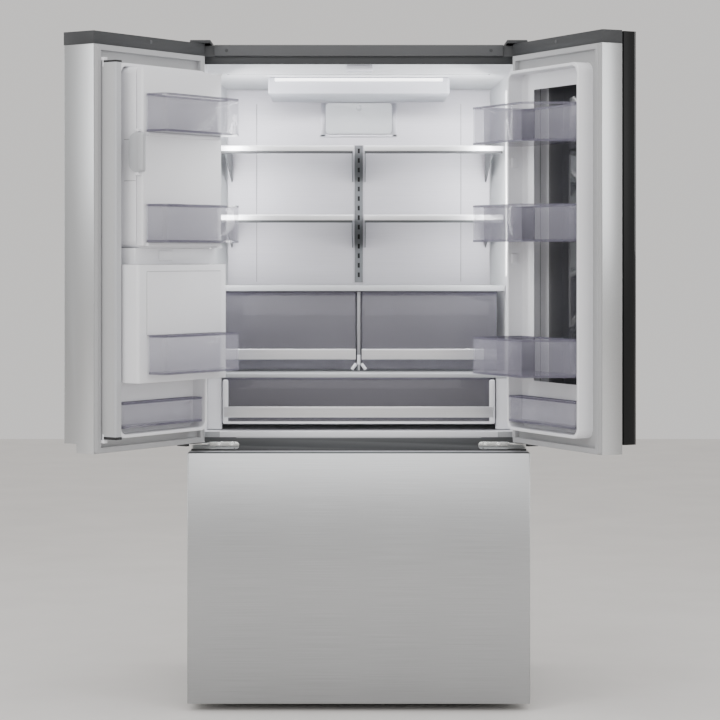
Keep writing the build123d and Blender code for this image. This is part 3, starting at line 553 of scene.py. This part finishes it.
def seal(node, place):
    """Bellows seal: base, two lips and the magnet strip."""
    low, high = shut_box(node, place)
    depth = high.y - low.y
    bm = bmesh.new()
    for start, end, near, far in SEAL_LAYERS:
        inset = start * SEAL_WIDTH
        ring(bm, (low.x + inset, low.z + inset), (high.x - inset, high.z - inset),
             (end - start) * SEAL_WIDTH, (low.y + near * depth, low.y + far * depth), place, SEAL_CORNER)
    return finish_piece(f"{node}_profile", bm, "gasket", BODY_OF[node], (node,))


# ---- bins ---------------------------------------------------------------------------------
def islands(bm):
    """Faces of each separate solid."""
    left = set(bm.faces)
    while left:
        stack, found = [left.pop()], []
        while stack:
            face = stack.pop()
            found.append(face)
            near = {other for edge in face.edges for other in edge.link_faces if other in left}
            left -= near
            stack.extend(near)
        yield found


SAME_LEVEL = 0.1 * MM
BASKET_RIM = 4 * MM
CRISPER_RIM = 9 * MM
RIM_PROUD = 0.9 * MM
CRISPER_RIM_PROUD = 0.8 * MM
BASE_PROUD = 0.5 * MM
BASE_THICK = 5 * MM


def bin_layer(node, place, pick, thickness, proud, name):
    """Plate grown from the picked faces of each bin and swelled a little past its walls."""
    part = merged_copy(node)
    bmesh.ops.transform(part, matrix=place.inverted(), verts=part.verts)
    kept = [face for faces in islands(part) for face in pick(faces)]
    spare = [face for face in part.faces if face not in kept]
    bmesh.ops.delete(part, geom=spare, context="FACES")
    grown = bmesh.ops.extrude_face_region(part, geom=list(part.faces), use_keep_orig=True)
    moved = [item for item in grown["geom"] if isinstance(item, bmesh.types.BMVert)]
    bmesh.ops.translate(part, vec=(0, 0, thickness), verts=moved)
    bmesh.ops.recalc_face_normals(part, faces=list(part.faces))
    part.normal_update()
    for vertex in part.verts:
        vertex.co += vertex.normal * proud
    bm = bmesh.new()
    pour(bm, part, place)
    return finish_piece(f"{node}_{name}", bm, "bin_edge", BODY_OF[node], slot=SLOT_OF[node])


def top_faces(faces):
    """Faces at the top of one solid."""
    highest = max(vertex.co.z for face in faces for vertex in face.verts)
    return [face for face in faces if face.calc_center_median().z > highest - SAME_LEVEL]


def bottom_faces(faces):
    """Faces at the bottom of one solid."""
    lowest = min(vertex.co.z for face in faces for vertex in face.verts)
    return [face for face in faces if face.calc_center_median().z < lowest + SAME_LEVEL]


def bin_rims(node, place, depth, proud=RIM_PROUD):
    """Rolled rim along the top of each bin of a node."""
    return bin_layer(node, place, top_faces, -depth, proud, "rim")


def bin_bases(node, place):
    """Thick moulded base of each bin of a node."""
    return bin_layer(node, place, bottom_faces, BASE_THICK, BASE_PROUD, "base")


# ---- left door ----------------------------------------------------------------------------
def flap_details():
    """End plugs and facing strips of the mullion flap."""
    low, high = shut_box("mullion_flap", LEFT)
    bm = bmesh.new()
    edge = 0.4 * MM
    for z0, z1 in ((low.z + 0.2 * MM, low.z + 8 * MM), (high.z - 5 * MM, high.z + 0.6 * MM)):
        block(bm, (low.x - edge, low.y + 12 * MM, z0), (high.x + edge, high.y + edge, z1), LEFT, 0.0012)
    finish_piece("mullion_flap_plugs", bm, "black_rubber", "flap", slot="dark_plastic")
    bm = bmesh.new()
    for face_x in (low.x - 0.5 * MM, high.x - 0.3 * MM):
        block(bm, (face_x, low.y + 7 * MM, low.z + 12 * MM),
              (face_x + 0.8 * MM, high.y - 7 * MM, high.z - 10 * MM), LEFT, 0.0003)
    finish_piece("mullion_flap_facings", bm, "flap_facing", "flap", slot="light_plastic")


def edges_along_x(part):
    """Edges whose ends differ in X."""
    return [e for e in part.edges if abs(e.verts[0].co.x - e.verts[1].co.x) > 1e-6]


def latch_lever():
    """Lever of the ice room door: a plate with deep rounded corners and a rolled grip."""
    low, high = shut_box("ice_latch", LEFT)
    part = bmesh.new()
    bmesh.ops.create_cube(part, size=1.0)
    bmesh.ops.scale(part, vec=high - low, verts=part.verts)
    bmesh.ops.translate(part, vec=(high + low) / 2, verts=part.verts)
    middle = (low.y + high.y) / 2
    round_edges(part, [e for e in edges_along_x(part) if e.verts[0].co.y < middle], 24 * MM, 8)
    far = [e for e in edges_along_x(part) if min(v.co.y for v in e.verts) > middle]
    round_edges(part, far, 6 * MM, 4)
    round_edges(part, sharp_edges(part, 60), 1.2 * MM)
    bm = bmesh.new()
    pour(bm, part, LEFT)
    block(bm, (high.x - 2 * MM, high.y - 19 * MM, low.z + 3 * MM),
          (high.x + 5 * MM, high.y - 1 * MM, high.z - 3 * MM), LEFT, 0.004, 4)
    finish_piece("ice_latch_lever", bm, "light_plastic", "latch", ("ice_latch",))


def ice_room_details():
    """Seams as strips of painted shade, seal and the moulded bridge below the ice room."""
    low, high = shut_box("ice_box", LEFT)
    housing_high = shut_box("dispenser_housing", LEFT)[1]
    bm = bmesh.new()
    block(bm, (low.x + 2 * MM, low.y + 0.2 * MM, housing_high.z + 0.3 * MM),
          (high.x, high.y - 24 * MM, low.z - 0.3 * MM), LEFT, 0.002)
    catch_x = high.x - 118 * MM
    block(bm, (catch_x - 26 * MM, high.y - 26 * MM, housing_high.z + 9 * MM),
          (catch_x + 26 * MM, high.y - 19 * MM, low.z - 7 * MM), LEFT, 0.002, 3)
    finish_piece("ice_room_bridge", bm, "liner", "left_door", slot="liner")
    # Seams: thin strips of painted shade on the ice room's side wall.
    bm = bmesh.new()
    for z in (1395 * MM, 1500 * MM):
        block(bm, (high.x - 0.4 * MM, low.y + 40 * MM, z),
              (high.x + 0.25 * MM, high.y - 22 * MM, z + 1.2 * MM), LEFT, 0.0002)
    finish_piece("ice_room_seams", bm, "seam_painted_shade", "left_door", slot="gasket")
    bm = bmesh.new()
    leaf_low = shut_box("ice_door", LEFT)[0]
    for z0, z1 in ((1509 * MM, 1518.6 * MM), (1230.5 * MM, 1239.6 * MM)):
        block(bm, (low.x + 16 * MM, leaf_low.y + 22 * MM, z0), (high.x - 12 * MM, leaf_low.y + 30 * MM, z1),
              LEFT, 0.002, 3)
    finish_piece("ice_door_ledges", bm, "liner", "ice_room_door", slot="liner")


def housing_details():
    """Raised panel and moulded line on the dispenser housing; the line is a ring of painted shade."""
    low, high = shut_box("dispenser_housing", LEFT)
    bm = bmesh.new()
    block(bm, (low.x + 26 * MM, high.y - 1 * MM, low.z + 120 * MM),
          (high.x - 34 * MM, high.y + 2 * MM, high.z - 18 * MM), LEFT, 0.0015, 3)
    finish_piece("dispenser_housing_panel", bm, "liner", "left_door", slot="liner")
    # Moulded line: a thin ring of painted shade round the panel.
    bm = bmesh.new()
    ring(bm, (low.x + 25 * MM, low.z + 119 * MM), (high.x - 33 * MM, high.z - 17 * MM), 1.0 * MM,
         (high.y - 0.5 * MM, high.y + 0.3 * MM), LEFT, 0.003)
    finish_piece("dispenser_housing_line", bm, "seam_painted_shade", "left_door", slot="gasket")


def cap_screws(node, place, body):
    """Screw cover in the middle of a door's top cap."""
    low, high = shut_box(node, place)
    middle = (low.x + high.x) / 2
    bm = bmesh.new()
    z = high.z - 12 * MM
    rod(bm, (middle, high.y - 1 * MM, z), (middle, high.y + 1 * MM, z), 5 * MM, place, 24, 0.0005)
    finish_piece(f"{node}_screw_cover", bm, "grey_plastic", body, slot="dark_plastic")


TRAY_BARS = 9
TRAY_PITCH = 14.25 * MM


def front_controls():
    """Spout, drip tray and glass strip of the dispenser."""
    low, high = shut_box("dispenser_recess", LEFT)
    middle = (low.x + high.x) / 2
    bm = bmesh.new()
    block(bm, (low.x + 8.5 * MM, low.y + 0.6 * MM, high.z - 84 * MM),
          (high.x - 8.5 * MM, low.y + 6 * MM, high.z - 8.5 * MM), LEFT, 0.0012, 3)
    finish_piece("dispenser_glass_strip", bm, "black_glass", "left_door", slot="black_glass")
    bm = bmesh.new()
    for offset in (-14, 14):
        rod(bm, (middle + offset * MM, low.y + 34 * MM, high.z - 112 * MM),
            (middle + offset * MM, low.y + 34 * MM, high.z - 88 * MM), 6 * MM, LEFT, 24, 0.001)
    tray_z = low.z + 4 * MM
    for step in range(TRAY_BARS):
        x = low.x + 20 * MM + step * TRAY_PITCH
        block(bm, (x - 2 * MM, low.y + 8 * MM, tray_z),
              (x + 2 * MM, high.y - 8 * MM, tray_z + 3 * MM), LEFT, 0.0008)
    finish_piece("dispenser_spouts_and_tray", bm, "grey_plastic", "left_door", slot="grey_plastic")
    bm = bmesh.new()
    ring(bm, (low.x + 8 * MM, low.z + 8 * MM), (high.x - 8 * MM, high.z - 8 * MM), 2.5 * MM,
         (low.y - 1.9 * MM, low.y + 1 * MM), LEFT, 0.003)
    finish_piece("dispenser_bezel", bm, "steel_left", "left_door", slot="steel")


# ---- right door ---------------------------------------------------------------------------
RECESS_X = (56.7 * MM, 402.7 * MM)
RECESS_FLOOR = 46 * MM
LEDGE_LOW, LEDGE_HIGH = 1664 * MM, 1683 * MM
HOOK_HEIGHTS = (1300 * MM, 1186 * MM, 1440 * MM, 1540 * MM, 940 * MM)
BIN_HEIGHTS = ((1499.5 * MM, 1592 * MM), (1245.5 * MM, 1335 * MM), (901.5 * MM, 991 * MM))


def window_surround():
    """Ledge of the deep recess, the frame around its window, its grooves as strips of painted shade and the
    bins' hooks.
    """
    x0, x1 = RECESS_X
    floor = RECESS_FLOOR
    bm = bmesh.new()
    ring(bm, (101 * MM, 860 * MM), (358 * MM, 1660 * MM), 9 * MM,
         (floor - 0.5 * MM, floor + 6 * MM), RIGHT, 0.002)
    block(bm, (x0 + 0.5 * MM, floor - 0.5 * MM, LEDGE_LOW),
          (x1 - 0.5 * MM, floor + 14 * MM, LEDGE_HIGH), RIGHT, 0.003, 3)
    finish_piece("window_frame_and_ledge", bm, "liner", "right_door", slot="liner")
    # Grooves: thin strips of painted shade.
    bm = bmesh.new()
    block(bm, (x0 + 1 * MM, floor - 0.2 * MM, 1661 * MM),
          (x1 - 1 * MM, floor + 1.6 * MM, 1663.6 * MM), RIGHT, 0.0005)
    block(bm, (x0 + 1 * MM, floor + 13 * MM, 1672 * MM),
          (x1 - 1 * MM, floor + 14.6 * MM, 1674.4 * MM), RIGHT, 0.0005)
    block(bm, (x1 - 4 * MM, floor - 0.2 * MM, 776 * MM),
          (x1 - 2.4 * MM, floor + 0.8 * MM, 1660 * MM), RIGHT, 0.0003)
    finish_piece("recess_grooves", bm, "seam_painted_shade", "right_door", slot="gasket")
    bm = bmesh.new()
    for z in HOOK_HEIGHTS:
        block(bm, (x1 - 5 * MM, 118 * MM, z), (x1 + 0.5 * MM, 134 * MM, z + 26 * MM), RIGHT, 0.0022, 3)
    finish_piece("bin_hooks", bm, "liner", "right_door", slot="liner")


def bin_dividers():
    """Dividers that split the right door's three deep bins."""
    bm = bmesh.new()
    for z0, z1 in BIN_HEIGHTS:
        block(bm, (322 * MM, 108.5 * MM, z0), (324.5 * MM, 260.5 * MM, z1), RIGHT, 0.0006)
    finish_piece("right_bin_dividers", bm, "bin_edge", "right_door", slot="clear_bin")


# ---- fresh food room ----------------------------------------------------------------------
def shelf_strips():
    """Dark strip under each shelf trim and a white lip on top of it."""
    trims = merged_copy("shelf_trims")
    boxes = []
    for faces in islands(trims):
        points = [vertex.co for face in faces for vertex in face.verts]
        boxes.append((Vector([min(p[i] for p in points) for i in range(3)]),
                      Vector([max(p[i] for p in points) for i in range(3)])))
    trims.free()
    bm = bmesh.new()
    for low, high in boxes:
        block(bm, (low.x + 3 * MM, low.y + 0.6 * MM, low.z - 6 * MM),
              (high.x - 3 * MM, high.y - 2 * MM, low.z + 2 * MM), STILL, 0.001)
    finish_piece("shelf_under_strips", bm, "dark_plastic", "cabinet", slot="dark_plastic")
    bm = bmesh.new()
    for low, high in boxes:
        block(bm, (low.x + 0.5 * MM, low.y + 3 * MM, high.z - 0.4 * MM),
              (high.x - 0.5 * MM, high.y, high.z + 1.2 * MM), STILL, 0.0006)
    finish_piece("shelf_trim_lips", bm, "liner", "cabinet", slot="liner")


def crisper_face():
    """Centre post with its foot, a toe on each crisper, and the dark lines of the crispers' frame."""
    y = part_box("right_crisper_bar")[0][1]
    bm = bmesh.new()
    block(bm, (-4.4 * MM, y + 5 * MM, 0.930), (4.4 * MM, y + 12 * MM, 1.108), STILL, 0.002, 3)
    finish_piece("crisper_post", bm, "post_grey", "cabinet", slot="dark_plastic")
    bm = bmesh.new()
    block(bm, (-4.6 * MM, y + 3 * MM, 0.904), (4.6 * MM, y + 12 * MM, 0.932), STILL, 0.003, 3)
    finish_piece("crisper_post_foot", bm, "liner", "cabinet", slot="liner")
    for name, side in (("left", -1), ("right", 1)):
        bm = bmesh.new()
        rod(bm, (side * 7 * MM, y + 6 * MM, 0.907), (side * 19 * MM, y + 6 * MM, 0.891), 4.5 * MM, sides=20)
        finish_piece(f"{name}_crisper_toe", bm, "liner", f"crisper_{name}", slot="liner")
    bm = bmesh.new()
    half = 402 * MM
    block(bm, (-half, y + 0.5 * MM, 1.1063), (half, y + 8 * MM, 1.1085), STILL, 0.0005)
    block(bm, (-half, y + 0.5 * MM, 0.8872), (half, y + 4 * MM, 0.8886), STILL, 0.0003)
    finish_piece("crisper_reveals", bm, "dark_plastic", "cabinet", slot="dark_plastic")


def pantry_posts():
    """Rounded end posts and lower rim of the pantry drawer, and the pillars beside it."""
    low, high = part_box("pantry_drawer")
    bm = bmesh.new()
    for side in (-1, 1):
        x0, x1 = sorted((side * (high[0] + 0.3 * MM), side * (high[0] - 15 * MM)))
        block(bm, (x0, low[1] - 5 * MM, low[2] + 1 * MM),
              (x1, low[1] + 6 * MM, high[2] - 3 * MM), STILL, 0.005, 5)
    block(bm, (low[0] + 8 * MM, low[1] - 3 * MM, low[2] + 0.5 * MM),
          (high[0] - 8 * MM, low[1] + 4 * MM, low[2] + 8 * MM), STILL, 0.003, 4)
    finish_piece("pantry_frame", bm, "liner", "pantry", slot="liner")
    bm = bmesh.new()
    block(bm, (low[0] + 10 * MM, low[1] - 1.5 * MM, high[2] - 4 * MM),
          (high[0] - 10 * MM, low[1] + 3.5 * MM, high[2] + 0.6 * MM), STILL, 0.0018, 3)
    finish_piece("pantry_top_rim", bm, "bin_edge", "pantry", slot="clear_bin")
    bm = bmesh.new()
    for side in (-1, 1):
        x0, x1 = sorted((side * 372.8 * MM, side * 412.6 * MM))
        block(bm, (x0, 0.176, 0.733), (x1, 0.200, 0.8735), STILL, 0.003, 3)
    finish_piece("pantry_pillars", bm, "liner", "cabinet", slot="liner")


def room_trim():
    """Ceiling groove and back wall creases as strips of painted shade, backs of the rail's slots and the
    filter cover's border.
    """
    # The ceiling groove with its end dots and the back wall creases are painted shade lines.
    bm = bmesh.new()
    groove, crease = 359 * MM, 300 * MM
    block(bm, (-groove, 0.2402, 1.7045), (groove, 0.2422, 1.7060), STILL, 0.0004)
    for side in (-1, 1):
        rod(bm, (side * groove, 0.2412, 1.7035), (side * groove, 0.2412, 1.7062), 3 * MM, STILL, 16)
        block(bm, (side * crease - 0.8 * MM, 0.6702, 1.130),
              (side * crease + 0.8 * MM, 0.6712, 1.652), STILL, 0.0003)
    finish_piece("room_grooves", bm, "seam_painted_shade", "cabinet", slot="gasket")
    bm = bmesh.new()
    block(bm, (-5 * MM, 0.6690, 1.1400), (5 * MM, 0.6706, 1.5250), STILL, 0.0003)
    finish_piece("rail_slot_backs", bm, "black_rubber", "cabinet", slot="dark_plastic")
    bm = bmesh.new()
    for side in (-1, 1):
        x0, x1 = sorted((side * 97 * MM, side * 112 * MM))
        block(bm, (x0, 0.6665, 1.556), (x1, 0.6715, 1.654), STILL, 0.001)
    block(bm, (-0.112, 0.6665, 1.5545), (0.112, 0.6715, 1.5625), STILL, 0.001)
    finish_piece("filter_surround", bm, "duct_metal", "cabinet", slot="duct_metal")


def mouth_plates():
    """Small rounded plates under the lower corners of the room's mouth."""
    bm = bmesh.new()
    for side in (-1, 1):
        x0, x1 = sorted((side * 415 * MM, side * 374 * MM))
        block(bm, (x0, 0.1118, 0.7165), (x1, 0.1146, 0.7325), STILL, 0.0015, 3)
    finish_piece("sill_corner_plates", bm, "corner_plate", "cabinet", slot="grey_plastic")


# ---- front of the case --------------------------------------------------------------------
HINGE_Z = 695 * MM
HINGE_INNER, HINGE_OUTER = 332 * MM, 402 * MM
BOLT_X = (342 * MM, 377 * MM)


def lower_hinges():
    """Formed plates, washers and bolt heads of the lower hinges."""
    bm = bmesh.new()
    for side in (-1, 1):
        for x in BOLT_X:
            rod(bm, (side * x, 0.1035, HINGE_Z), (side * x, 0.1092, HINGE_Z), 9.5 * MM, STILL, 28, 0.001)
            rod(bm, (side * x, 0.0998, HINGE_Z), (side * x, 0.1036, HINGE_Z), 5.6 * MM, STILL, 6, 0.0006)
        x0, x1 = sorted((side * HINGE_INNER, side * HINGE_OUTER))
        block(bm, (x0, 0.1062, 0.6845), (x1, 0.1095, 0.7055), STILL, 0.0014, 3)
        end = side * HINGE_INNER
        rod(bm, (end, 0.1062, HINGE_Z), (end, 0.1095, HINGE_Z), 10.5 * MM, STILL, 32, 0.001)
    finish_piece("lower_hinge_plates", bm, "zinc", "cabinet", slot="zinc")


def top_bar_details():
    """Dark band under the top bar, and the plugs in the bar."""
    bm = bmesh.new()
    block(bm, (-414 * MM, 0.1116, 1.7225), (414 * MM, 0.1132, 1.7428), STILL, 0.0006)
    finish_piece("top_band", bm, "dark_plastic", "cabinet", slot="dark_plastic")
    bm = bmesh.new()
    for x in (-356 * MM, 356 * MM):
        rod(bm, (x, 0.1024, 1.7585), (x, 0.1036, 1.7585), 4.5 * MM, STILL, 24, 0.0003)
    finish_piece("top_bar_plugs", bm, "dark_plastic", "cabinet", slot="dark_plastic")


def cross_rail_details():
    """Light lip on top of the rail between the rooms."""
    bm = bmesh.new()
    block(bm, (-330 * MM, 0.1116, 0.7148), (330 * MM, 0.1132, 0.7185), STILL, 0.0006)
    finish_piece("cross_rail_lip", bm, "light_plastic", "cabinet", slot="light_plastic")


def grip_lining():
    """Lining of the hand pocket in the freezer front."""
    bm = bmesh.new()
    block(bm, (-0.4505, 0.0282, 0.6552), (0.4505, 0.0718, 0.6566), STILL, 0.0004)
    finish_piece("grip_pocket_mat", bm, "dark_plastic", "freezer_drawer", slot="dark_plastic")
    bm = bmesh.new()
    block(bm, (-0.4525, 0.0020, 0.6828), (0.4525, 0.0275, 0.6838), STILL, 0.0003)
    finish_piece("freezer_top_edge", bm, "dark_plastic", "freezer_drawer", slot="dark_plastic")


# ---- back of the case ---------------------------------------------------------------------
REAR_FACE = 729.8 * MM


def back_panel():
    """Beads of the rear panel, and the screws of the panel and of the machine room cover."""
    y = REAR_FACE
    bm = bmesh.new()
    for z in (0.52, 0.88, 1.24, 1.60):
        block(bm, (-0.36, y, z - 0.011), (0.36, y + 0.0024, z + 0.011), STILL, 0.002, 3)
    for x in (-0.405, 0.405):
        block(bm, (x - 0.006, y, 0.40), (x + 0.006, y + 0.0022, 1.70), STILL, 0.0018, 3)
    finish_piece("rear_panel_beads", bm, "case_paint", "cabinet", slot="case_paint")
    bm = bmesh.new()
    spots = [(x, z) for x in (-0.436, 0.436) for z in (0.36, 0.70, 1.05, 1.40, 1.74)]
    spots += [(x, 1.755) for x in (-0.22, 0.0, 0.22)]
    spots += [(x, z) for x in (-0.425, -0.14, 0.14, 0.425) for z in (0.058, 0.306)]
    for x, z in spots:
        rod(bm, (x, y, z), (x, y + 0.0022, z), 0.0045, STILL, 20, 0.0006)
        block(bm, (x - 0.003, y + 0.0020, z - 0.0005), (x + 0.003, y + 0.0026, z + 0.0005), STILL, 0.0001)
    finish_piece("rear_panel_screws", bm, "zinc", "cabinet", slot="zinc")


paint_faces(finished["left_door_liner"], "perimeter", LEFT, on_door_edge)
paint_faces(finished["right_door_liner"], "perimeter", RIGHT, on_door_edge)
paint_faces(finished["right_door_caps"], "joint_black", RIGHT, on_front_frame)
paint_faces(finished["right_door_glass"], "window_glass", RIGHT, on_window)
seal("left_door_gasket", LEFT)
seal("right_door_gasket", RIGHT)
seal("freezer_gasket", STILL)
for node, place in (("left_baskets", LEFT), ("ice_door_baskets", LEFT), ("right_baskets", RIGHT)):
    bin_rims(node, place, BASKET_RIM)
    bin_bases(node, place)
for node in ("left_crisper", "right_crisper"):
    bin_rims(node, STILL, CRISPER_RIM, CRISPER_RIM_PROUD)
flap_details()
latch_lever()
ice_room_details()
housing_details()
cap_screws("left_door_caps", LEFT, "left_door")
cap_screws("right_door_caps", RIGHT, "right_door")
front_controls()
window_surround()
bin_dividers()
shelf_strips()
crisper_face()
pantry_posts()
room_trim()
mouth_plates()
lower_hinges()
top_bar_details()
cross_rail_details()
grip_lining()
back_panel()


# ---- floor, lights and camera ---------------------------------------------------------------
def stage_floor():
    """Plain pale floor."""
    bm = bmesh.new()
    bmesh.ops.create_grid(bm, x_segments=1, y_segments=1, size=9.0)
    mesh = bpy.data.meshes.new("floor")
    bm.to_mesh(mesh)
    bm.free()
    floor = bpy.data.objects.new("floor", mesh)
    bpy.context.scene.collection.objects.link(floor)
    mesh.materials.append(moulded("pale_floor", (0.78, 0.76, 0.74), (0.5, 0.7), 40, 0.02))


def area_light(name, spot, target, size, power):
    """Rectangular soft light aimed at a point."""
    data = bpy.data.lights.new(name, "AREA")
    data.shape = "RECTANGLE"
    data.size, data.size_y = size
    data.energy = power
    light = bpy.data.objects.new(name, data)
    light.location = spot
    light.rotation_euler = (Vector(target) - Vector(spot)).to_track_quat("-Z", "Y").to_euler()
    bpy.context.scene.collection.objects.link(light)
    return light


def studio_lights():
    """Large soft boxes around the object and the lamps inside its fresh food room."""
    area_light("key", (-3.2, -3.6, 3.0), (0, 0, 1.0), (2.6, 2.6), 82)
    area_light("fill", (3.2, -3.4, 2.4), (0, 0, 1.0), (2.6, 2.6), 48)
    area_light("front", (0, -5.2, 2.6), (0, 0, 0.8), (3.4, 1.6), 34)
    area_light("overhead", (0, -0.6, 3.8), (0, 0, 1.0), (3.0, 2.4), 38)
    for side in (-1, 1):
        area_light(f"rim_{side + 1}", (side * 3.4, 0.9, 1.4), (side * 0.6, -0.3, 1.2), (0.7, 2.4), 22)
    low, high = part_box("ceiling_fittings")
    area_light("room_lamp", (0, low[1] - 0.06, high[2] - 0.03), (0, 0.36, 0.9), (0.6, 0.05), 2.0)
    wall_low, wall_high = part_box("lamp_lenses")
    for side in (-1, 1):
        spot = (side * (wall_high[0] - 0.02), wall_low[1] - 0.05, 1.40)
        area_light(f"wall_lamp_{side + 1}", spot, (0, 0.42, 1.35), (0.05, 0.5), 3.0)


def studio_world():
    """Pale even surroundings."""
    world = bpy.data.worlds.new("studio")
    bpy.context.scene.world = world
    world.use_nodes = True
    background = world.node_tree.nodes["Background"]
    background.inputs["Color"].default_value = (0.86, 0.84, 0.82, 1)
    background.inputs["Strength"].default_value = 0.95


CAMERA_SPOT = (0.0, -6.050, 1.2056)
FOCAL_MM = 114.3
SHIFT = (0.0017, -0.1446)


def take_camera():
    """Camera level with the upper room, looking straight at the front."""
    data = bpy.data.cameras.new("camera")
    data.sensor_width = 36.0
    data.lens = FOCAL_MM
    data.shift_x, data.shift_y = SHIFT
    camera = bpy.data.objects.new("camera", data)
    camera.location = CAMERA_SPOT
    camera.rotation_euler = (math.radians(90), 0, 0)
    bpy.context.scene.collection.objects.link(camera)
    bpy.context.scene.camera = camera


stage_floor()
studio_lights()
studio_world()
take_camera()
